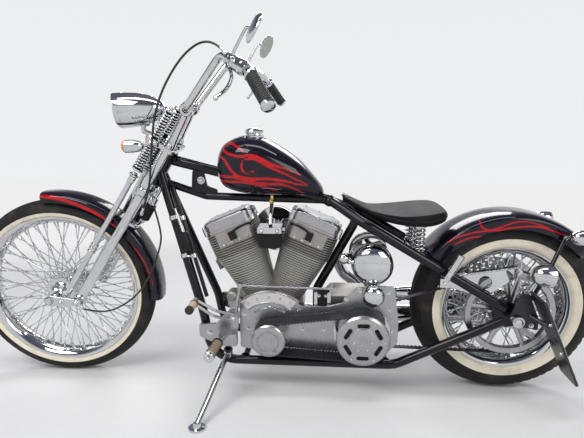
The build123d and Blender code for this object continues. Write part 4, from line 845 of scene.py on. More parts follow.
def make_seat():
    """Solo saddle with a dished top, a rolled rear edge and a stitched skirt, on its two springs."""
    # x, half width, top z, edge z, bottom z
    stations = [(1047, 20, 702, 699, 696), (1058, 33, 708, 698, 690), (1090, 47, 694, 686, 672),
                (1130, 64, 676, 669, 652), (1170, 92, 666, 664, 640), (1210, 117, 663, 663, 634),
                (1250, 132, 661, 665, 630), (1290, 137, 663, 669, 628), (1330, 134, 669, 672, 630),
                (1362, 122, 677, 672, 636), (1384, 98, 677, 668, 642), (1395, 62, 669, 660, 645)]
    stations = smooth_numbers(stations, 7)
    shape = Shape()
    rows = []
    for x, half, top, edge, low in stations:
        row = []
        dish = 5.0 * math.exp(-((x - 1250) / 90) ** 2)
        for step in range(SEAT_STEPS + 1):
            t = -1 + 2 * step / SEAT_STEPS
            z = top + (edge - top) * abs(t) ** 2.2 - dish * (1 - t * t) - 9 * max(0, abs(t) - 0.8) ** 2 * 25
            row.append((x, half * math.sin(t * math.pi / 2), z))
        skirt = [(1, 9), (0.985, 3), (0.95, 0)]
        row += [(x, half * share, low + rise) for share, rise in skirt]
        row += [(x, half * share, low) for share in (0.6, 0.2, -0.2, -0.6)]
        row += [(x, -half * share, low + rise) for share, rise in reversed(skirt)]
        rows.append(row)
    shape.grid(rows, loop=True, caps=True)
    seat = piece("saddle", shape, "chassis", LEATHER, BIKE, ["seat"], sharp=70)
    welt = Shape()
    path = [Vector((x, half * 0.995, low + 11)) for x, half, top, edge, low in stations]
    ring = path + [Vector((1399, y, path[-1].z)) for y in (40, 0, -40)]
    ring += [Vector((p.x, -p.y, p.z)) for p in reversed(path)]
    ring += [Vector((1044.5, y, path[0].z)) for y in (-10, 10)]
    welt.pipe(curve(ring[::2], 3, closed=True), 2.6, 8, closed=True)
    edge_piece = piece("saddle_welt", welt, "chassis", LEATHER, sharp=60)
    thread = Shape()
    for p, q in zip(path, path[1:]):
        for side in SIDES:
            start = Vector((p.x, side * p.y * 1.002, p.z + 6))
            end = Vector((q.x, side * q.y * 1.002, q.z + 6))
            thread.pipe([start + (end - start) * 0.15, start + (end - start) * 0.8], 0.8, 6)
    piece("saddle_stitching", thread, "chassis", THREAD, sharp=60)
    springs = Shape()
    for side in SIDES:
        x, y = SEAT_SPRING_X, side * SEAT_SPRING_Y
        springs.pipe(helix((x, y, 534), (x, y, 621), 19, 6, 20), 3.4, 10)
        springs.lathe([(0, 532.3), (23, 532.3), (23, 536), (9, 538), (9, 616), (0, 616)], (x, y, 0), UP, 24)
        springs.lathe([(0, 616), (24, 616), (24, 621.4), (0, 621.4)], (x, y, 0), UP, 24)
        springs.bolt((x, y, 538), UP, 7, 8)
    piece("saddle_springs", springs, "chassis", CHROME, BIKE, ["seat_springs"], sharp=40)


# Frame

RAIL_Z, PLATES_Y = 125, 124
# Where the upper rail bends and where it ends, as x and z
UPPER_BEND, UPPER_END = (1120, 628), (1592, 350)


def make_frame():
    """Frame tubes with fillet welds where they meet."""
    shape = Shape()
    bore, back_end = 13.4, (1000, 0, 690)
    shape.lathe([(bore, 890), (25, 890), (27, 892), (27, 900), (25, 903), (25, 1015), (27, 1018), (27, 1026),
                 (25, 1028), (bore, 1028)], (0, 0, 0), UP, 40)
    shape.moved(steering)
    shape.pipe([on_fork(0, 0, 994), Vector(back_end)], 19, 24)
    shape.pipe(arcs([on_fork(0, 0, 908), (560, 0, 700), back_end], [60]), 14, 20)
    shape.pipe(arcs([back_end, (1104, 0, 634), (960, 0, 360), (960, 0, RAIL_Z)], [40, 40]), 16, 22)
    for side in SIDES:
        loop = [on_fork(8, side * 12, 940), (562, side * 108, 285), (585, side * 120, RAIL_Z),
                (1235, side * 120, RAIL_Z), (1590, side * PLATES_Y, 306)]
        shape.pipe(arcs(loop, [260, 105, 120], 14), 16, 22)
        upper = [(1000, side * 4, 690), (UPPER_BEND[0], side * 106, UPPER_BEND[1]),
                 (UPPER_END[0], side * PLATES_Y, UPPER_END[1])]
        shape.pipe(arcs(upper, [80], 12), 16, 22)
        for spot, radius in (((1000, side * 10, 688), 20), ((1236, side * 120, 128), 17.2)):
            weld = radius * 0.7
            shape.lathe(both_sides([(0, -radius), (weld, -weld), (radius, 0)]), spot, RIGHT, 20)
    for x, z in ((705, RAIL_Z), (960, RAIL_Z), (1205, RAIL_Z), (SEAT_SPRING_X, 520)):
        shape.rod((x, -114, z), (x, 114, z), 12, sides=20)
        for side in SIDES:
            shape.lathe([(12, -16), (15, -3), (19, 0)], (x, side * 103, z), (0, side, 0), 20)
    piece("frame_tubes", shape, "chassis", BLACK, BIKE, ["frame"], sharp=45)
    plates = Shape()
    corners = [(1556, 292), (1600, 284), (1660, 294), (1680, 310), (1682, 338), (1612, 373),
               (1570, 386), (1552, 376)]
    for side in SIDES:
        plates.slab(corners, side * PLATES_Y, 8)
    piece("frame_axle_plates", plates, "chassis", BLACK, bevel=1.5)


def make_stand_lug():
    """Fork in which the side stand turns, with its arm to the frame's rail."""
    pivot = Vector(STAND_PIVOT)
    axis = (BIKE.inverted().to_3x3() @ Vector(joints["side_stand_fold"]["axis"])).normalized()
    shape = Shape()
    shape.lathe([(0, -22.5), (15, -22.5), (15, -14.5), (8, -14.5), (8, 14.5), (12, 14.5), (12, 17), (10, 20),
                 (0, 20)], pivot, axis, 24)
    shape.rod((pivot.x, -120, 131), pivot - axis * 18.5, 9)
    piece("stand_lug", shape, "chassis", BLACK, sharp=35)


# Springer fork and bars, given across, beside and along the steering axis

FORK_AXLE = steering.inverted() @ FRONT_AXLE
ROCKER_DROP = 48.2
ROCKER_PIVOT = FORK_AXLE.z + ROCKER_DROP
CROWN_LOW, CROWN_HIGH = 868.0, 1040.0
CROWN_TOP = CROWN_HIGH + 8
SPRING_LEG_X, SPRING_Y = -57.0, 64
RISER_Y = 42
BAR_RADIUS = 12.7
LUG_ABOVE_TYRE, LUG_X = 19.6, -4
FENDER_LUG_Z = FORK_AXLE.z + math.sqrt((FRONT_TYRE + LUG_ABOVE_TYRE) ** 2 - (LUG_X - FORK_AXLE.x) ** 2)


def leg_spread(z):
    """How far the middle of a blade is from the fork's middle at this height."""
    return 105 - 25 * (z - ROCKER_PIVOT) / (CROWN_TOP - ROCKER_PIVOT)


def blade_side(half, z, side, way, flute=0.0):
    """Outer (way 1) or inner (way -1) face of a fork blade's section at one height."""
    row = []
    for k in range(-14 * way, 14 * way, way):
        t = math.sin(math.pi / 2 * k / 14)
        bulge = 10 * (1 - abs(t) ** 2.8) ** 0.5
        hollow = 4.0 * flute * math.exp(-(t * half / 5.2) ** 4)
        row.append((t * half, side * (leg_spread(z) + way * bulge - hollow), z))
    return row


def make_fork_blades():
    """Fluted oval blades, the two crowns and the stem, with their eyes, collars and nuts."""
    shape = Shape()
    for side in SIDES:
        rows = []
        for i in range(73):
            share = i / 72
            z = ROCKER_PIVOT + share * (CROWN_TOP - ROCKER_PIVOT)
            half = 18.5 - 5.5 * share
            flute = max(0.0, min(1.0, (z - 446) / 22, (CROWN_LOW - 48 - z) / 22))
            rows.append(blade_side(half, z, side, 1, flute) + blade_side(half, z, side, -1))
        shape.grid(rows, loop=True, caps=True)
        shape.lathe(both_sides([(0, -13), (17, -13), (20, -10)]), (0, side * 105, ROCKER_PIVOT))
        shape.lathe([(0, -10), (10, -10), (10, 20), (0, 20)], (0, side * 113, ROCKER_PIVOT), (0, side, 0), 24)
        shape.acorn((0, side * 133, ROCKER_PIVOT), (0, side, 0), 8.5)
        collar = both_sides([(13, -17), (18, -17), (21, -13), (21, -9), (19, -7)])
        shape.lathe(collar, (0, side * leg_spread(CROWN_LOW), CROWN_LOW), UP)
        shape.acorn((0, side * 80, CROWN_TOP), UP, 11)
        x, y = SPRING_LEG_X, side * SPRING_Y
        shape.rod((x, y, CROWN_HIGH - 122), (x, y, CROWN_HIGH + 124), 5)
        shape.acorn((x, y, CROWN_HIGH + 118), UP, 8)
    shape.rod((0, 0, CROWN_LOW - 10), (0, 0, CROWN_HIGH + 36), 13)
    shape.bolt((0, 0, CROWN_TOP), UP, 21, 22)
    shape.acorn((0, 0, CROWN_HIGH + 28), UP, 12)
    bar_low, bar_high = FENDER_LUG_Z + 32, FENDER_LUG_Z + 39
    bar = [(2, -90, bar_high), (36, -70, bar_low), (36, 70, bar_low), (2, 90, bar_high)]
    shape.pipe(arcs(bar, [18, 18]), 7)
    piece("fork_blades", shape, "steering", CHROME, FORK, ["fork_legs"], sharp=38)
    crowns = Shape()
    crowns.slab(rounded([(-22, -100), (22, -100), (22, 100), (-22, 100)], 21, 10), CROWN_LOW, 16, "xy")
    crowns.slab(rounded([(24, -96), (24, 96), (-80, 82), (-80, -82)], 14, 8), CROWN_HIGH, 16, "xy")
    piece("fork_crowns", crowns, "steering", CHROME, FORK, sharp=40, bevel=2.2)
    risers = Shape()
    for side in SIDES:
        y = side * RISER_Y
        line = [(x, y, CROWN_HIGH + above) for x, above in ((-4, 7), (-7, 50), (-12, 110), (-16, 134))]
        risers.pipe(curve(line, 5), [19 - 5 * min(1, k / 6) for k in range(16)], 24)
        risers.lathe(both_sides([(12, -19), (20, -19), (23, -16)]), (-16, y, CROWN_HIGH + 146), steps=32)
        for x in (-32, 0):
            risers.bolt((x, y, CROWN_HIGH + 160), UP, 5, 7)
            risers.rod((x, y, CROWN_HIGH + 138), (x, y, CROWN_HIGH + 161), 7)
    piece("handlebar_risers", risers, "steering", CHROME, FORK, sharp=38)


def make_fork_rockers():
    """Rocker plates with their bosses, the spring legs and the front axle."""
    plates, shape = Shape(), Shape()
    axle = FORK_AXLE
    for side in SIDES:
        corners = [(8, ROCKER_PIVOT + 14), (14, ROCKER_PIVOT - 8), (axle.x + 8, axle.z - 20),
                   (axle.x - 20, axle.z - 8), (axle.x - 10, axle.z + 18)]
        plates.slab(rounded(corners, 12, 7), side * 127.5, 12)
        joint = (0.56 * axle.x, ROCKER_PIVOT - 0.56 * ROCKER_DROP)
        for x, z, radius in ((0, ROCKER_PIVOT, 14), (*joint, 12), (axle.x, axle.z, 17)):
            cap = [(0, 0), (radius, 0), (radius, 1.6), (radius - 1.5, 2.6), (0, 2.6)]
            shape.lathe(cap, (x, side * 133.3, z), (0, side, 0), 32)
        shape.acorn((joint[0], side * 134, joint[1]), (0, side, 0), 7)
        shape.bolt((axle.x, side * 134.5, axle.z), (0, side, 0), 12.5, 7)
        shape.lathe([(9, 0), (14, 0), (14, 32), (9, 32)], (axle.x, side * 89.4, axle.z), (0, side, 0), 28)
        shape.rod((joint[0], side * 97, joint[1]), (joint[0], side * 128, joint[1]), 8)
        foot = Vector((joint[0], side * 105, joint[1] - 4))
        top = Vector((SPRING_LEG_X, side * 68, CROWN_HIGH - 140))
        run = top - foot
        shape.pipe([foot, top], [12, 10], 28)
        shape.lathe(both_sides([(0, -15), (13, -15), (15, -12)]), (joint[0], side * 105, joint[1]), steps=28)
        for share in (0.40, 0.425, 0.45):
            shape.lathe(both_sides([(10, -4), (14, -4), (14.6, -2.4)]), foot + run * share, run, 28)
        shape.lathe([(9, -34), (12.6, -30), (13.4, -6), (17, -2), (17, 2), (10, 6), (9, 9)], top, run, 28)
    shape.rod((axle.x, -141, axle.z), (axle.x, 141, axle.z), 9.4, sides=24)
    piece("fork_rocker_plates", plates, "steering", CHROME, FORK, ["fork_rockers"], sharp=40, bevel=2.5)
    piece("spring_legs", shape, "steering", CHROME, FORK, sharp=38)


def make_fork_springs():
    """Two coil springs on each spring leg with cups, black rods in them as painted shade, the damper between.
    """
    shape = Shape()
    for side in SIDES:
        x, y = SPRING_LEG_X, side * SPRING_Y
        for low, cup, way in ((CROWN_HIGH - 114, -121.5, 1), (CROWN_HIGH + 10, 121.5, -1)):
            shape.mark = 0
            shape.pipe(helix((x, y, low + 3), (x, y, low + 101), 16, 9.5, 20), 3.3, 10)
            # Black rod inside the coil: painted shade that darkens the gaps between the turns
            shape.mark = 1
            shape.rod((x, y, low - 4), (x, y, low + 108), 10)
            shape.mark = 0
            shape.lathe([(5.3, 0), (16, 0), (20, 3), (20.5, 6), (20, 8.6), (17.5, 8.6), (17, 5), (5.3, 5)],
                        (x, y, CROWN_HIGH + cup), (0, 0, way), 32)
    piece("fork_coils", shape, "steering", [CHROME, PLASTIC], FORK, ["fork_springs"], sharp=45)
    foot = FENDER_LUG_Z + 46
    damper = Shape()
    damper.lathe([(0, 0), (15, 0), (18.6, 3), (19, 8), (19, 62), (17, 66), (0, 66)], (36, 0, foot),
                 (-0.03, 0, 1), 36)
    damper.mark = 1
    damper.lathe([(0, 62), (15, 62), (15, 90), (13, 96), (9, 98), (9, 150), (0, 150)], (36, 0, foot),
                 (-0.03, 0, 1), 36)
    damper.lathe(both_sides([(0, -9), (9, -9), (10, -6)]), (36, 0, foot - 8), RIGHT, 24)
    piece("fork_damper_body", damper, "steering", [PLASTIC, CHROME], FORK, ["fork_damper"], sharp=38)


BAR_LINE = [(226, -432, 1366), (130, -330, 1408), (2, -112, 1402), (-16, -76, 1186), (-16, 76, 1186),
            (2, 112, 1402), (130, 330, 1408), (226, 432, 1366)]


def make_bars():
    """Handlebar, ribbed grips with their end caps, clamps, levers and mirrors."""
    bar = Shape()
    bar.pipe(arcs(BAR_LINE, [60, 44, 40, 40, 44, 60], 12), BAR_RADIUS, 28)
    piece("handlebar_tube", bar, "steering", CHROME, FORK, ["handlebar"], sharp=45)
    grips, levers, mirrors = Shape(), Shape(), Shape()
    for side in SIDES:
        inner, outer = Vector((136, side * 336, 1405.6)), Vector((226, side * 432, 1366))
        run = (outer - inner).normalized()
        start = inner + run * 4
        grips.mark = 0
        ribs = [(13, 10), (17.4, 10)]
        for k in range(13):
            along = 13 + 8.6 * k
            ribs += [(17.2, along), (18.6, along + 1.4), (18.6, along + 5.6), (17.2, along + 7)]
        grips.lathe(ribs + [(18, 126), (13, 126)], start, run, 36)
        grips.mark = 1
        grips.lathe([(13, 0), (19, 0), (21, 2), (21, 6), (18.6, 10), (13, 10)], start, run, 36)
        knurl = [(13, 126), (20, 126), (21, 128), (20, 130), (21, 132), (20, 134), (19, 137),
                 (12, 140), (0, 140.6)]
        grips.lathe(knurl, start, run, 36)
        along = Vector((128, side * 218, 6)).normalized()
        spot = Vector((56, side * 204, 1404.5))
        levers.lathe(both_sides([(13, -26), (19, -26), (21, -22), (21, -4), (19.5, -2)]), spot, along, 32)
        sleeve = [(13, 0), (19, 0), (22.4, 4), (23, 8), (23, 62), (21, 68), (18.6, 72), (18.6, 92), (17, 96),
                  (13, 96)]
        levers.lathe(sleeve, spot + along * 38, along, 36)
        levers.rod(spot + along * 70 + Vector((-16, 0, 0)), spot + along * 70 + Vector((-30, 0, 4)), 9, 8)
        levers.pipe(curve([(48, side * 206, 1400), (58, side * 226, 1388), (66, side * 242, 1380)], 5),
                    [11, 11, 10.5, 10, 10, 9.5, 9, 9, 9, 9, 9], 16, flat=0.8)
        levers.bolt((62, side * 236, 1388), (0.1, 0, 1), 5, 6)
        blade = curve([(60, side * 232, 1384), (78, side * 270, 1380), (96, side * 312, 1366),
                       (104, side * 352, 1340), (102, side * 380, 1322), (98, side * 398, 1308)], 6)
        levers.pipe(blade, [6.6 - 1.6 * k / len(blade) for k in range(len(blade))], 16, flat=0.62)
        levers.lathe(ball(7, 9), (98, side * 400, 1306), UP, 20)
        mirrors.mark = 0
        stem = [(48, side * 200, 1420), (44, side * 206, 1506), (66, side * 250, 1514)]
        mirrors.pipe(arcs(stem, [14], 10), 5, 16)
        facing = (0.95, side * -0.3, 0.1)
        head = (70, side * 256, 1514)
        shell = [(0, -9), (14, -9), (31, -7.5), (41, -3.6), (45.4, 0.4), (46, 3), (44.6, 4.4), (42.4, 3.4),
                 (42.4, 2)]
        mirrors.lathe(shell, head, facing, 56)
        mirrors.acorn((66, side * 250, 1502), UP, 7)
        mirrors.mark = 1
        mirrors.lathe([(0, 2.6), (42.6, 2.6), (42.6, 1.8), (0, 1.8)], head, facing, 56)
    piece("grip_sleeves", grips, "steering", [GRIP, CHROME], FORK, ["grips"], sharp=40)
    piece("hand_levers", levers, "steering", CHROME, FORK, ["levers"], sharp=42)
    piece("mirror_heads", mirrors, "steering", [CHROME, GLASS], FORK, ["mirrors"], sharp=42)


def make_front_lamps():
    """Bullet headlamp with a visor and a glass, and the two indicators."""
    lamp = Shape()
    centre, facing = Vector((430, 0, 1006)), Vector((-1, 0, -0.04)).normalized()
    shell = smooth_numbers([(0, 0), (12, 2), (26, 12), (40, 34), (50, 62), (56.5, 92), (59.5, 124),
                            (60, 146)], 5)
    lens_ring = [(61, 147), (61, 159), (59, 164), (55, 166), (53, 163), (0, 158)]
    lamp.lathe(shell + lens_ring, centre, facing, 64)
    for k in range(3):
        lamp.rod(centre + facing * (40 + 34 * k) + Vector((0, -1, 56 - 3 * (2 - k) ** 2)),
                 centre + facing * (62 + 34 * k) + Vector((0, 1, 57 - 3 * (2 - k) ** 2)), 1.5, sides=8)
    rows = []
    for i in range(25):
        turn = math.radians(-62 + 124 * i / 24)
        root, tip = 150, 166 + max(0, 14 * math.cos(turn * 1.35))
        out = Vector((0, math.sin(turn), math.cos(turn)))
        rows.append([centre + facing * along + out * radius
                     for along, radius in ((root, 61.2), (tip, 60.6), (tip, 59.2), (root, 59.8))])
    lamp.grid(rows, loop=True, caps=True)
    lamp.pipe(arcs([(350, 0, 958), (344, 0, 930), on_fork(-79.7, 0, CROWN_HIGH)], [8]), 9, 18)
    lamp.lathe([(0, 0), (16, 0), (18, 3), (18, 9), (14, 13), (0, 13)], (352, 0, 948), (0.1, 0, 1), 28)
    lamp.mark = 1
    lamp.lathe([(0, 164.5), (24, 164), (42, 162), (53.5, 159), (53.5, 157), (0, 157)], centre, facing, 56)
    piece("headlamp_shell", lamp, "steering", [CHROME, CLEAR_LENS], STEERED, ["headlamp"], sharp=42)
    marker = Shape()
    for side in SIDES:
        spot = (383, side * 122, 890)
        marker.mark = 0
        marker.lathe([(0, 0), (8, 2), (14, 8), (18.5, 18), (21, 32), (22, 48), (22, 60), (20.6, 60), (20, 56),
                      (0, 56)], spot, (-1, 0, -0.02), 36)
        marker.rod((362, side * 106, 892), on_fork(-40, side * 87, CROWN_HIGH), 6)
        marker.mark = 1
        marker.lathe([(20.6, 58), (20, 64), (16, 69), (8, 71.6), (0, 72)], spot, (-1, 0, -0.02), 36)
    piece("front_indicator_shells", marker, "steering", [CHROME, AMBER_LENS], STEERED,
          ["front_indicators"], sharp=42)


# Engine and drive

# Middles as x and z: crank, gearbox shaft, cam cover, gearbox side, air cleaner, starter, relay and coil
CRANK, SHAFT = (798.0, 233.0), (1118.0, 245.0)
CAM_COVER, GEARBOX_SIDE, AIR_CLEANER = (792, 239), (1100, 262), (800, 560)
STARTER, RELAY, COIL = (1153, 384), (980, 354), (800, 577)
PLATE_Y, PLATE_FACE = -112, -116
PRIMARY_Y, CLUTCH_TEETH = -150, 84
FIN_PITCH, FIN_THICKNESS = 8.6, 3
CYLINDERS = [Matrix.Translation((CRANK[0], 0, CRANK[1])) @ Matrix.Rotation(math.radians(a), 4, "Y")
             for a in (-22.5, 22.5)]


def box_outline(x, z, corner, steps=6, centre=(0, 0)):
    """Rounded rectangle of these half sizes."""
    corners = [(centre[0] + a * x, centre[1] + b * z) for a, b in ((-1, -1), (1, -1), (1, 1), (-1, 1))]
    return rounded(corners, corner, steps)


def make_cylinders():
    """Finned barrels, and heads whose fins stop at a plain port block."""
    barrels, heads = Shape(), Shape()
    for way, cylinder in zip((1, -1), CYLINDERS):
        first, head_first = len(barrels.points), len(heads.points)
        height = 138.6
        barrels.lathe([(0, 131), (62, 131), (62, 136), (56, 138), (56, 300), (0, 300)], (0, 0, 0), UP, 72)
        while height < 297:
            share = (height - 138) / 160
            fin = box_outline(66 + 22 * share, 65 + 8 * share, 60 - 22 * share, 12)
            barrels.slab(fin, height + FIN_THICKNESS / 2, FIN_THICKNESS, "xy")
            height += FIN_PITCH
        heads.mark = 0
        heads.slab(box_outline(61, 56, 8), 346, 92, "xy")
        while height < 389:
            heads.slab(box_outline(93, 74, 38), height + FIN_THICKNESS / 2, FIN_THICKNESS, "xy")
            height += FIN_PITCH
        heads.slab(box_outline(65, 75, 6, centre=(10 * way, 0)), 366, 52, "xy")
        for side in SIDES:
            heads.mark = 1
            for x in (-44, -14, 16, 46):
                heads.screw((x + 10 * way, side * 74.8, 346), (0, side, 0), 4.8, 5)
            heads.mark = 2
            heads.block((8 * way, side * 79, 368), (24, 16, 30))
            lead = [(14 * way, side * 82, 380), (36 * way, side * 82, 386), (62 * way, side * 78, 388),
                    (84 * way, side * 66, 384)]
            heads.pipe(curve(lead, 6), 4.2, 12)
        barrels.moved(cylinder, first)
        heads.moved(cylinder, head_first)
    piece("finned_barrels", barrels, "chassis", FINS, BIKE, ["cylinders"], sharp=36)
    piece("finned_heads", heads, "chassis", [CAST, CHROME, PLASTIC], sharp=36, bevel=0.5)


def make_rocker_boxes():
    """Lipped rocker boxes with domed covers, and a bolt tower at each corner."""
    boxes, bolts = Shape(), Shape()
    for cylinder in CYLINDERS:
        first, bolt_first = len(boxes.points), len(bolts.points)
        for less, corner, low, height in ((0, 26, 392, 9), (5, 23, 401, 20), (1.5, 25, 421, 9)):
            boxes.slab(box_outline(87 - less, 65 - less, corner, 8), low + height / 2, height, "xy")
        rows = []
        for inset, z in ((3.4, 429.8), (3.6, 431.6), (4.6, 433.4), (6.8, 435.2), (10, 436.6),
                         (15, 437.5), (24, 438)):
            rows.append([(x, y, z) for x, y in box_outline(87 - inset, 65 - inset, 26 - inset * 0.5, 8)])
        boxes.grid(rows, loop=True, caps=True)
        for across in SIDES:
            for beside in (-42, 42):
                bolts.lathe([(0, 392), (9, 392), (9, 394), (8, 396), (8, 412), (9, 414), (9, 416), (0, 416)],
                            (across * 89, beside, 0), UP, 24)
                bolts.acorn((across * 89, beside, 415.5), UP, 7.2)
            for x in (-52, 0, 52):
                bolts.screw((x, across * 54, 434.4), (0, across * 0.35, 1), 4.4, 4)
        boxes.moved(cylinder, first)
        bolts.moved(cylinder, bolt_first)
    piece("rocker_covers", boxes, "chassis", POLISHED, BIKE, ["rocker_boxes"], sharp=34)
    piece("rocker_bolts", bolts, "chassis", CHROME, sharp=36)
    rods = Shape()
    for cylinder, nudge, shift in ((0, 18, -52), (0, 18, -20), (1, -18, 20), (1, -18, 52)):
        head = CYLINDERS[cylinder] @ Vector((shift * 0.9 + nudge, 83.2, 396))
        foot = Vector((CRANK[0] + shift, 91, CRANK[1] + 88))
        run = (head - foot).normalized()
        length = (head - foot).length
        half = length * 0.5
        tube = [(0, 0), (8, 0), (8, 14), (10.5, 16), (10.5, 34), (8.4, 37), (7, 40), (7, half),
                (8.4, half + 2), (8.4, half + 10), (7.6, half + 12), (7.6, length - 16), (9.6, length - 12),
                (9.6, length - 4), (8, length), (0, length)]
        rods.lathe(tube, foot, run, 26)
    piece("pushrod_covers", rods, "chassis", CHROME, BIKE, ["pushrod_tubes"], sharp=38)


def make_motor_plate():
    """Plate between engine and gearbox with its raised arch, screws, starter dome and relay."""
    plate, trim = Shape(), Shape()
    outline = [(690, 172)] + stroke_of(CRANK, 156, 133.8, 50.1, 22) + [
        (898, 336), (1000, 336), (1050, 350), (1094, 404), (1160, 416), (1226, 412), (1244, 290), (1244, 206),
        (1205, 160), (1040, 150), (760, 160)]
    plate.slab(rounded(outline, 9, 4), PLATE_Y, 8)
    band = stroke_of(CRANK, 151, 133, 51, 24) + stroke_of(CRANK, 112, 51, 133, 24)
    plate.mark = 1
    plate.slab(rounded(band, 3, 2), -117.3, 3.2)
    plate.mark = 0
    for x, z, face in ((740, 290, -82), (860, 270, -82), (740, 180, -82), (1002, 186, -68), (1002, 330, -68)):
        plate.rod((x, PLATE_Y, z), (x, face - 0.3, z), 10)
    piece("motor_plate_sheet", plate, "chassis", [POLISHED, BRIGHT], BIKE, ["motor_plate"],
          sharp=34, bevel=1.2)
    for radius, first, last in ((151, 51, 133), (113, 51, 133), (92, 56, 84), (92, 98, 128)):
        trim.pipe([(x, -118.6, z) for x, z in stroke_of(CRANK, radius, first, last, 24)], 2.6, 10)
    trim.acorn((CRANK[0], PLATE_FACE, 331), LEFT, 6.4)
    for x, z in spots_at(CRANK, 131, (58, 74, 92, 110, 126)):
        trim.screw((x, -118.8, z), LEFT, 5, 4)
    for x, z in ((707, 300), (718, 246), (913, 248), (987, 250), (899, 318), (861, 316), (1213, 330),
                 (1222, 250), (1190, 190), (1062, 366), (1206, 392), (1110, 396)):
        trim.bolt((x, PLATE_FACE, z), LEFT, 6.2, 6)
    dome = [(0, 0.4), (22, 0.4), (38, 4.5), (38.4, 8), (38, 20), (36, 27), (31, 33.6), (24, 38.6),
            (14, 42), (0, 43)]
    motor = [(0, 4), (24, 4), (25, 10), (25, 120), (23, 130), (20, 148), (0, 150)]
    trim.lathe(dome, (STARTER[0], PLATE_FACE, STARTER[1]), LEFT, 48)
    trim.lathe(motor, (STARTER[0], PLATE_Y, STARTER[1]), RIGHT, 40)
    for x, z in spots_at(STARTER, 33, (40, 160, 280)):
        trim.screw((x, -143, z), LEFT, 3.4, 4)
    trim.mark = 1
    trim.slab(box_outline(27, 29, 6, centre=RELAY), -90.5, 34)
    trim.mark = 0
    for across in (-23, 23):
        trim.slab(box_outline(5.5, 30.5, 3, 3, (RELAY[0] + across, RELAY[1])), -91, 36.5)
    for across in (-12, 12):
        trim.bolt((RELAY[0] + across, -108, RELAY[1] + 18), LEFT, 4.4, 6)
    piece("starter_and_relay", trim, "chassis", [CHROME, PLASTIC], sharp=36)


def make_belt(name, node, front, front_radius, rear, rear_radius, thickness, y, width, pitch):
    """Belt round two pulleys with moulded teeth on its inside."""
    run = Vector((rear[0] - front[0], rear[1] - front[1]))
    heading = math.atan2(run.y, run.x)
    opening = math.acos((front_radius - rear_radius) / run.length)
    straight = math.sqrt(run.length ** 2 - (front_radius - rear_radius) ** 2)
    lengths = [2 * opening * rear_radius, straight, 2 * (math.pi - opening) * front_radius, straight]

    def at(centre, radius, angle):
        return Vector((centre[0] + radius * math.cos(heading + angle),
                       centre[1] + radius * math.sin(heading + angle)))

    def on_loop(way, out):
        """Point this far along the belt, out from the pulleys' pitch line."""
        way %= sum(lengths)
        ends = [(rear, rear_radius + out), (front, front_radius + out)]
        if way < lengths[0]:
            return at(*ends[0], way / rear_radius - opening)
        way -= lengths[0]
        if way < straight:
            return at(*ends[0], opening).lerp(at(*ends[1], opening), way / straight)
        way -= straight
        if way < lengths[2]:
            return at(*ends[1], opening + way / front_radius)
        return at(*ends[1], -opening).lerp(at(*ends[0], -opening), (way - lengths[2]) / straight)

    teeth = round(sum(lengths) / pitch)
    root, half = 0.4 + thickness / 2, width / 2
    shape = Shape()
    rows = []
    for number in range(teeth):
        for share, low in ((0.0, root), (0.10, 0.6), (0.16, 0.4), (0.46, 0.4), (0.52, 0.6),
                           (0.62, root), (0.81, root)):
            way = (number + share) * sum(lengths) / teeth
            section = [(low, -half + 0.4), (low, half - 0.4), (thickness - 1, half), (thickness, half - 1),
                       (thickness, -half + 1), (thickness - 1, -half)]
            row = []
            for out, beside in section:
                spot = on_loop(way, out)
                row.append((spot.x, y + beside, spot.y))
            rows.append(row)
    shape.grid(rows, loop=True, ring=True)
    piece(name, shape, "chassis", BELT, BIKE, [node], sharp=38)


def clutch_slots(long, wide, corner, y, thickness):
    """Six slot forms round the clutch cover."""
    slots = Shape()
    for number in range(6):
        turn = Matrix.Rotation(math.radians(60 * number + 30), 2)
        line = [turn @ Vector((58.5 + b, a)) for a, b in box_outline(long, wide, corner, 8)]
        slots.slab([(SHAFT[0] + p.x, SHAFT[1] + p.y) for p in line], y, thickness)
    return slots


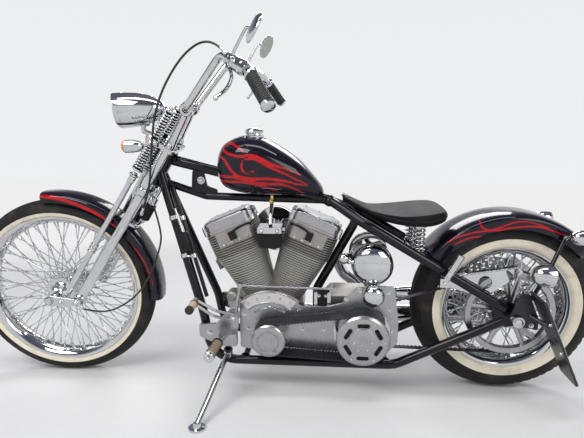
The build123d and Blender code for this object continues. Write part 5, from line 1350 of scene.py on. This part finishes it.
def make_pulleys():
    """Front pulley with its domed cover, clutch with its slotted cover, and the toothed ring behind it."""
    front = Shape()
    cover = [(0, -31), (50, -31), (50, 31), (58, 31.6), (59, 33), (57.8, 35.4), (50, 40.2), (47, 41),
             (38, 41), (36.6, 39), (34.4, 39), (33, 41), (14, 41), (12, 39.6), (0, 39.6)]
    front.lathe(cover, (CRANK[0], PRIMARY_Y, CRANK[1]), LEFT, 72)
    front.rod((CRANK[0], -119, CRANK[1]), (CRANK[0], -82.5, CRANK[1]), 20)
    for x, z in ring_of(CRANK, 43, 5, 18):
        front.screw((x, -190.6, z), LEFT, 3.4, 3)
    piece("front_pulley_cover", front, "chassis", POLISHED, BIKE, ["primary_pulleys"], sharp=34)
    clutch = Shape()
    cover = [(0, -31), (80, -31), (80, 31), (90, 31), (91, 32.2), (91, 35.6), (88.6, 38.6), (83, 43.4),
             (79, 45), (49, 45), (48.4, 47.4), (46, 49), (14, 49), (12, 47.6), (0, 47.6)]
    clutch.lathe(cover, (SHAFT[0], PRIMARY_Y, SHAFT[1]), LEFT, 96)
    piece("clutch_cover", clutch, "chassis", POLISHED, sharp=34, cutter=clutch_slots(21, 7.4, 7.3, -196, 20))
    piece("clutch_slot_floors", clutch_slots(20.6, 7.1, 7.0, -187, 2.2), "chassis", PLASTIC, sharp=40)
    trim = Shape()
    for (x, z), (inner_x, inner_z) in zip(ring_of(SHAFT, 74, 6), ring_of(SHAFT, 30, 6)):
        trim.screw((x, -194.8, z), LEFT, 3.6, 3)
        trim.screw((inner_x, -198.8, inner_z), LEFT, 3.0, 2.4)
    rows = []
    for number, angle in enumerate(turns(CLUTCH_TEETH * 4)):
        tip = 101 if number % 4 < 2 else 96.4
        rows.append([(SHAFT[0] + radius * math.cos(angle), y, SHAFT[1] + radius * math.sin(angle))
                     for radius, y in ((60, -119.4), (tip, -119.4), (tip, -117), (60, -117))])
    trim.grid(rows, loop=True, ring=True)
    piece("clutch_ring_and_screws", trim, "chassis", CHROME, sharp=34)


def make_engine_trim():
    """Screws and rings on the crankcase, gearbox, air cleaner, guard and silencers."""
    trim = Shape()
    for (x, z), (box_x, box_z) in zip(ring_of(CAM_COVER, 82, 8, 12), ring_of(GEARBOX_SIDE, 70, 8)):
        trim.screw((x, 96, z), RIGHT, 5, 4)
        trim.screw((box_x, 84, box_z), RIGHT, 4.6, 10)
    for spot, y, outline, steps in (
            (CAM_COVER, 108, [(34, 0), (52, 0), (54, 2), (54, 5), (50, 7), (36, 7), (34, 5)], 56),
            (AIR_CLEANER, 92.5, [(74, -3), (84.6, -3), (86, 0), (86, 6), (84, 9), (80, 9)], 72),
            (AIR_CLEANER, 145.4, [(0, 0), (14, 0), (16, 2), (14, 5), (5, 7), (0, 7)], 32)):
        trim.lathe(outline, (spot[0], y, spot[1]), RIGHT, steps)
    for x, z in ring_of(AIR_CLEANER, 46, 3, 90):
        trim.acorn((x, 143.6, z), RIGHT, 5)
    trim.pipe(arcs([(1405, -100, 446), (1470, -100, 459), (1636, -100, 487)], [60], 6), 2.6, 10)
    for x, z in ((1424, 432), (1632, 472)):
        trim.bolt((x, -101, z), LEFT, 5, 5)
    for start, end in (((1120, 182, 190), (1640, 186, 186)), ((1270, 184, 276), (1690, 190, 270))):
        start, end = Vector(start), Vector(end)
        run = (end - start).normalized()
        length = (end - start).length
        trim.lathe([(21, -12), (25, -12), (25, 6), (23.6, 8)], start, run, 40)
        tip = [(27, length - 40), (27, length), (30, length + 0.6), (33, length - 1), (35.4, length - 8)]
        trim.lathe(tip, start, run, 48)
        trim.bolt(start + Vector((0, 0, -27)), RIGHT, 5, 9)
    for x in (622, 974):
        trim.lathe([(21, -6), (30, -6), (30, 3), (21, 3)], (x, 79, 506), (0.3, 0.8, -0.5), 30)
    piece("engine_trim", trim, "chassis", CHROME, sharp=38)


# Oil tank, coil, controls and lamps on the frame

OIL_TANK = (1150, 0, 482)
LEFT_PEDAL = (556, -212.5, 376)
PEG_X = 1380


def make_oil_tank():
    """Black drum with chrome domes, beads round it, its filler and its mounts."""
    tank = Shape()
    dome = [(70.0 * math.cos(a), 100 + 34 * math.sin(a)) for a in (math.radians(9 * k) for k in range(1, 10))]
    drum = both_sides([(0, -97), (70, -97), (70, -84), (72, -83), (72.4, -79), (72, -75), (70, -74), (70, -4),
                       (70.8, -2)])
    for side in SIDES:
        tank.lathe([(68, 96), (70.8, 96), (71.2, 99), *dome, (0, 134)], OIL_TANK, (0, side, 0), 96)
    tank.mark = 1
    tank.lathe(drum, OIL_TANK, steps=96)
    tank.rod((1018, 0, 482), (1090, 0, 482), 13)
    tank.mark = 0
    tank.rod((1054, -100, 504), (1090, -98, 489), 7, 8)
    tank.lathe(ball(19, 15), (1050, -100, 506), UP, 40)
    tank.lathe([(7, 0), (11, 0), (11, 6), (7, 6)], (1066, -99.5, 499), (0.92, 0.03, -0.37), 28)
    for side in SIDES:
        tank.bolt((OIL_TANK[0], side * 79, 409), (0, 0, -1), 5, 7)
        tank.block((OIL_TANK[0], side * 79, 412), (22, 14, 6))
    piece("oil_tank_drum", tank, "chassis", [CHROME, BLACK], BIKE, ["oil_tank"], sharp=42)


def make_coil():
    """Ignition coil between the cylinders under its bracket."""
    box, bracket = Shape(), Shape()
    box.slab(box_outline(38, 31, 6, 5, COIL), -102, 50)
    box.slab(box_outline(31, 24, 5, 5, COIL), -127.6, 2.4)
    bracket.slab([(761, -129), (839, -129), (839, -59), (761, -59)], 612, 8, "xy")
    bracket.slab(rounded([(759, 598), (841, 598), (841, 618), (759, 618)], 5), -130.5, 6)
    for x in (773, 827):
        bracket.acorn((x, -133, 607), LEFT, 7.6)
    bracket.pipe(arcs([(796, -66, 612), (796, -44, 646), (796, 0, 692)], [20]), 7, 16)
    piece("ignition_coil", box, "chassis", PLASTIC, BIKE, ["electrics"], sharp=36, bevel=2.0)
    piece("coil_bracket", bracket, "chassis", CHROME, sharp=36, bevel=1.0)


def make_pegs():
    """Tan peg rubbers between black rings, the same on the gear pedal, and the controls' bolts and eyes."""
    pegs, trim = Shape(), Shape()
    for side in SIDES:
        start, run = (630, side * 206, 234), (-0.1, side, -0.02)
        pegs.mark = 0
        outline = [(0, 0)]
        for low in (11 + 11.2 * k for k in range(7)):
            outline += [(14.2, low), (16, low + 1), (16, low + 5.6), (14.2, low + 6.6)]
        pegs.lathe(outline + [(0, 90)], start, run, 32)
        pegs.mark = 1
        for low in (18.4 + 11.2 * k for k in range(6)):
            pegs.lathe([(14, low), (16.6, low), (17.4, low + 1.6), (16.6, low + 3.2), (14, low + 3.2)],
                       start, run, 32)
        for pegs.mark, low, high in ((1, 0, 10.6), (2, 88, 99)):
            pegs.lathe([(0, low), (17, low), (19, low + 2), (19, high - 2), (17, high), (0, high)],
                       start, run, 32)
        trim.acorn((620.2, side * 304, 232), (0, side, 0), 6)
        trim.bolt((588, side * 151, 244), (0, side, 0), 8, 7)
        trim.bolt((668, side * 151, 232), (0, side, 0), 8, 7)
        trim.acorn((682, side * (186 if side < 0 else 175), 316), (0, side, 0), 8)
    pegs.mark = 0
    pegs.lathe([(0, 4), (11.6, 4), (13, 6), (13, 24), (12, 26), (13, 28), (13, 48), (11.6, 50), (0, 50)],
               LEFT_PEDAL, LEFT, 28)
    pegs.mark = 1
    for low, high in ((0, 5), (49, 60)):
        pegs.lathe([(0, low), (13.6, low), (14, low + 1), (14, high - 1), (12.4, high), (0, high)],
                   LEFT_PEDAL, LEFT, 28)
    piece("foot_peg_rubbers", pegs, "chassis", [TAN, GRIP, CHROME], BIKE, ["peg_rubbers"], sharp=38)
    piece("control_bolts", trim, "chassis", CHROME, sharp=38)


def make_rear_lamps():
    """Tail lamp, both rear indicators and the number plate's edge and bolts."""
    lamp = Shape()
    centre, run = (1694, -196, 492), (-1, 0, 0.1)
    shell = smooth_numbers([(36, 0), (36, 12), (34.4, 28), (30, 42), (22, 54), (12, 61), (0, 64)], 4)
    lamp.lathe([(33, 2), (35, -1)] + shell, centre, run, 48)
    lamp.pipe([(1660, -180, 470), (1648, -156, 424)], 8, 18)
    lamp.bolt((1650, -164, 428), LEFT, 5, 5)
    for side in SIDES:
        spot = (1762, side * 146, 604)
        lamp.mark = 0
        lamp.lathe([(0, 0), (9, 2), (16, 7), (21.4, 16), (24.4, 28), (26, 46), (26, 66), (24.6, 68), (24, 64),
                    (0, 64)], spot, (1, 0, 0), 40)
        lamp.pipe([(1788, side * 130, 602), (1780, side * 96, 596)], 6, 16)
        lamp.mark = 1
        lamp.lathe([(24.4, 65), (23.6, 71), (18, 75.6), (9, 77.6), (0, 78)], spot, (1, 0, 0), 40)
    lamp.mark = 2
    lamp.lathe([(0, -2), (20, -1.6), (30, 0), (34.4, 2.4), (34.4, 4), (0, 4)], centre, run, 40)
    piece("tail_lamp_shells", lamp, "chassis", [CHROME, AMBER_LENS, RED_LENS], BIKE, ["rear_lamps"], sharp=42)
    trim = Shape()
    tilt = Vector((0.9, 0, 0.42)).normalized()
    up = Vector((-0.42, 0, 0.9)).normalized()
    middle = Vector((1722, -206, 286))
    for high in (120, -120):
        for across in (-38, 38):
            trim.acorn(middle + Vector((0, across, 0)) + up * high + tilt * 4, tilt, 5)
    for high in (75, -30):
        trim.acorn(middle + Vector((0, -40, 0)) + up * high - tilt * 3.4, -tilt, 6)
    edge = [middle + Vector((0, y, 0)) + up * z + tilt * 3.4 for y, z in box_outline(50.6, 151.6, 8, 5)]
    trim.pipe(edge, 1.5, 8, closed=True)
    for x, z in ((1606, 330), (1668, 306), (1640, 424)):
        trim.bolt((x, -159, z), LEFT, 6, 6)
    piece("plate_edge_and_bolts", trim, "chassis", CHROME, sharp=40)


def make_rear_trim():
    """Axle nuts, strut bolts, brake bolts, passenger peg rings and the oil pipe on the front downtube."""
    trim = Shape()
    rail_fall = UPPER_END[1] - UPPER_BEND[1]
    for side in SIDES:
        trim.bolt((REAR_AXLE.x, side * (171 if side < 0 else 139), REAR_AXLE.z), (0, side, 0), 14, 8)
        trim.acorn((WHEELBASE + 24, side * 144.6, 352), (0, side, 0), 7)
        trim.bolt((WHEELBASE + 148, side * 105, 594), (0, side, 0.1), 6, 5)
        base = UPPER_BEND[1] + (PEG_X - UPPER_BEND[0]) * rail_fall / (UPPER_END[0] - UPPER_BEND[0]) - 29
        for share in (0.15, 0.35, 0.55, 0.75, 0.93):
            spot = Vector((PEG_X + 2 + 46 * share, side * (150 + 2 * share), base + 4 + 90 * share))
            trim.lathe(both_sides([(9, -2.6), (12.4, -2.6), (13, 0)]), spot, (46, side * 2, 90), 24)
        trim.acorn((PEG_X, side * 156, base), (0, side, 0), 6)
    for x, z in ((1664, 408), (1718, 424), (1684, 462)):
        trim.screw((x, 106, z), RIGHT, 5, 4)
    piece("axle_nuts_and_bolts", trim, "chassis", CHROME, sharp=38)
    clamps, pipe = Shape(), Shape()
    top, foot = Vector((398.7, -12, 784)), Vector((562, -108, 285))
    run = (foot - top).normalized()
    aside = Vector((31, -4, 0))
    for share in (0.313, 0.575):
        spot = top.lerp(foot, share)
        for middle, radius in ((spot, 16.2), (spot + aside, 7.2)):
            clamps.lathe(both_sides([(radius, -7), (radius + 2.4, -7)]), middle, run, 28)
        clamps.block(spot + aside * 0.65, (20, 6, 12))
        clamps.bolt(spot + Vector((16, -7, 0)), LEFT, 4.4, 5)
    clamps.rod(top.lerp(foot, 0.24) + Vector((22, -24, 0)), top.lerp(foot, 0.40) + Vector((24, -24, 0)), 4)
    clamps.mark = 1
    gusset = rounded([(508, 722), (596, 704), (606, 724), (566, 738), (556, 786), (514, 796)], 9, 6)
    clamps.slab(gusset, -9, 6)
    clamps.mark = 0
    clamps.bolt((544, -12, 758), LEFT, 10, 9)
    line = [top.lerp(foot, share) + aside for share in (0.10, 0.3, 0.6, 0.86)]
    pipe.pipe(curve(line, 6), 7, 16)
    piece("downtube_clamps", clamps, "chassis", [CHROME, BLACK], sharp=38)
    piece("downtube_oil_pipe", pipe, "chassis", BLACK, sharp=40)
    can = Shape()
    can.lathe([(0, -40), (13, -40), (17, -36), (17.6, -30), (17.6, 26), (16, 31), (11, 34), (7, 36), (7, 44),
               (0, 44)], top.lerp(foot, 0.477) + Vector((24, -24, 0)), run, 32)
    piece("downtube_canister", can, "chassis", PLASTIC, sharp=38)


CABLE_ROUTES = [
    ("clutch_cable", 7.2, 0.732, [(24, -176, 1412), (-40, -150, 1432), (-100, -120, 1340), (-100, -112, 1160),
                                 (-30, -112, 1000), (20, -108, 900), (34, -90, 800)]),
    ("axle_cable", 6.4, 0.612, [(6, -134, 386), (66, -130, 400), (130, -118, 440), (178, -104, 560),
                                (150, -92, 735), (109, -85, 797), (34, -86, 866)]),
]


def make_cables():
    """The two control cables, each one smooth line from its exit to where it goes back into the fork."""
    for name, width, length, route in CABLE_ROUTES:
        line = bpy.data.curves.new(name, "CURVE")
        line.dimensions = "3D"
        spline = line.splines.new("NURBS")
        spline.points.add(len(route) - 1)
        for knot, spot in zip(spline.points, route):
            knot.co = (*(FORK @ Vector(spot)), 1.0)
        spline.order_u = 3
        spline.use_endpoint_u = True
        line.resolution_u = 16
        line.bevel_depth = width / 2 * MM
        line.bevel_resolution = 5
        line.use_fill_caps = True
        line.materials.append(CABLE.material)
        made = added(name, line)
        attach(made, "steering")
        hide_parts("cables")
    ends = Shape()
    for name, width, length, route in CABLE_ROUTES:
        for end, after in ((Vector(route[0]), Vector(route[1])), (Vector(route[-1]), Vector(route[-2]))):
            run = (after - end).normalized()
            ferrule = [(0, -4), (5, -4), (6, -2), (6, 8), (4.6, 10), (4.6, 22), (3.8, 26), (0, 26)]
            ends.lathe(ferrule, end, run, 20)
    piece("cable_ferrules", ends, "steering", CHROME, FORK, sharp=38)


make_tyre("front_tyre", FRONT_TYRE, half=46, white=(285, 302), steps=288, **FRONT)
make_tyre("rear_tyre", REAR_TYRE, half=68, white=(221, 254), steps=264, **REAR)
make_wheel("front_wheel", lip=10, spokes={"count": 80, "rim_radius": 257, "flange_radius": 49, "flange_y": 38,
                                          "wire": 1.9, "lead": 0.82},
           hub=[(9.9, 88.8), (22, 88.8), (26, 85), (26, 60), (30, 52), (38, 44), (51, 41), (52, 38), (50, 35),
                (36, 33), (27, 26), (25, 0)], **FRONT)
make_wheel("rear_wheel", lip=12, spokes={"count": 60, "rim_radius": 192, "flange_radius": 56, "flange_y": 44,
                                         "wire": 2.2, "lead": 0.75},
           hub=[(9.9, 103.8), (30, 103.8), (36, 98), (36, 58), (44, 50), (60, 48), (62, 44), (58, 40),
                (42, 38), (34, 30), (32, 0)], **REAR)
make_rear_drive()
make_tank()
make_fender("rear_fender", REAR_AXLE, BIKE, "chassis", inner=336, half=90, skirt=42, first=41, last=152,
            wall=3.0, flames=REAR_FLAMES, steps=190)
make_fender("front_fender", FRONT_AXLE, STEERED, "steering", inner=366, half=54, skirt=24, first=-6, last=95,
            wall=2.5, flames=FRONT_FLAMES, steps=150)
make_seat()
make_frame()
make_stand_lug()
make_fork_blades()
make_fork_rockers()
make_fork_springs()
make_bars()
make_front_lamps()
make_cylinders()
make_rocker_boxes()
make_motor_plate()
make_belt("primary_toothed_belt", "primary_belt", front=CRANK, front_radius=50, rear=SHAFT, rear_radius=80,
          thickness=6, y=PRIMARY_Y, width=60, pitch=11)
make_belt("final_toothed_belt", "final_belt", front=SHAFT, front_radius=62, rear=(REAR_AXLE.x, REAR_AXLE.z),
          rear_radius=PULLEY_RADIUS, thickness=5, y=PULLEY_Y, width=20, pitch=14)
make_pulleys()
make_engine_trim()
make_oil_tank()
make_coil()
make_pegs()
make_rear_lamps()
make_rear_trim()
make_cables()

# CAD nodes that stay in view as they are
KEPT = {
    "fender_struts": BLACK, "crankcase": CAST, "air_cleaner": CHROME, "gearbox": CAST, "belt_guard": CHROME,
    "exhausts": CHROME, "left_controls": POLISHED, "right_controls": POLISHED, "passenger_pegs": CHROME,
    "plate_holder": PLATE, "rear_brake": POLISHED, "rear_axle": CHROME, "side_stand": CHROME,
}
for node, finish in KEPT.items():
    materials = frame["nodes"][node].data.materials
    materials.clear()
    materials.append(finish.material)


# Studio

FLOOR_HALF, BACKDROP = 30.0, 0.86
FADE_FROM, FADE_TO = 1.6, 4.2
floor_mesh = bpy.data.meshes.new("floor")
corners = [(x * FLOOR_HALF, y * FLOOR_HALF, 0) for x, y in ((-1, -1), (1, -1), (1, 1), (-1, 1))]
floor_mesh.from_pydata(corners, [], [(0, 1, 2, 3)])
floor = added("floor", floor_mesh)
FLOOR = plain("studio_floor", "black_paint", (0.78, 0.78, 0.77), (0.74, 0.74, 0.73), 0.75, 60)
away = FLOOR.node("ShaderNodeVectorMath", {"operation": "LENGTH"}, {0: FLOOR.place()}, 1)
RAYS = ("Is Camera Ray", "Is Glossy Ray", "Is Transmission Ray")
seen = [FLOOR.node("ShaderNodeLightPath", {}, {}, ray) for ray in RAYS]
glow = FLOOR.node("ShaderNodeEmission", {}, {"Color": (BACKDROP, BACKDROP, BACKDROP, 1), "Strength": 1.0})
faded = (seen[0] + seen[1] + seen[2]).clamped() * FLOOR.between(away, FADE_FROM, FADE_TO)
mixed_floor = FLOOR.tree.nodes.new("ShaderNodeMixShader")
FLOOR.plug(mixed_floor.inputs[0], faded)
FLOOR.tree.links.new(FLOOR.shader.outputs[0], mixed_floor.inputs[1])
FLOOR.plug(mixed_floor.inputs[2], glow)
FLOOR.tree.links.new(mixed_floor.outputs[0], FLOOR.tree.nodes["Material Output"].inputs["Surface"])
floor_mesh.materials.append(FLOOR.material)

world = bpy.data.worlds.new("studio")
bpy.context.scene.world = world
world.use_nodes = True
sky = world.node_tree
direction = sky.nodes.new("ShaderNodeTexCoord")
split = sky.nodes.new("ShaderNodeSeparateXYZ")
tone = sky.nodes.new("ShaderNodeValToRGB")
# Height in the sky, its light and how much more of it is blue
SKY_TONES = [(0.0, 0.86, 1.02), (0.34, 0.84, 1.02), (0.42, 0.28, 1.27), (0.62, 0.10, 1.27), (1.0, 0.20, 1.27)]
while len(tone.color_ramp.elements) < len(SKY_TONES):
    tone.color_ramp.elements.new(1.0)
for element, (at, light, blue) in zip(tone.color_ramp.elements, SKY_TONES):
    element.position = at
    element.color = (light, light * 1.01, light * blue, 1)
sky.links.new(direction.outputs["Generated"], split.inputs[0])
sky.links.new(split.outputs["Z"], tone.inputs[0])
sky.links.new(tone.outputs[0], sky.nodes["Background"].inputs["Color"])


def lamp(name, place, size, power):
    """Soft rectangular lamp pointed at the bike's middle."""
    light = bpy.data.lights.new(name, "AREA")
    light.shape = "RECTANGLE"
    light.size, light.size_y = size
    light.energy = power
    made = added(name, light)
    made.location = place
    made.rotation_euler = (Vector((0, 0, 0.5)) - Vector(place)).to_track_quat("-Z", "Y").to_euler()


lamp("key", (-1.6, -2.6, 3.4), (2.4, 1.4), 90)
lamp("fill", (2.8, -2.4, 2.4), (1.8, 1.8), 45)
lamp("back", (0.6, 3.0, 3.0), (3.0, 1.2), 70)
lamp("strip", (0.1, -0.6, 3.6), (3.6, 0.5), 40)

# Camera, solved from the round outlines of the tyres and rims in the photograph
EYE = (978.35, -1721.20, 783.66)
LENS, SENSOR = 28.41, 36.0
YAW, PITCH, ROLL = math.radians(3.87), math.radians(-5.85), math.radians(-0.45)
camera = added("camera", bpy.data.cameras.new("camera"))
camera.data.lens = LENS
camera.data.sensor_width = SENSOR
camera.location = (Vector(EYE) - ORIGIN) * MM
aim = Matrix.Rotation(YAW, 3, "Z") @ Matrix.Rotation(PITCH, 3, "X") @ Matrix.Rotation(ROLL, 3, "Y")
camera.rotation_euler = (aim @ Matrix.Rotation(math.radians(90), 3, "X")).to_euler()
bpy.context.scene.camera = camera
bpy.context.scene.view_settings.view_transform = "Standard"
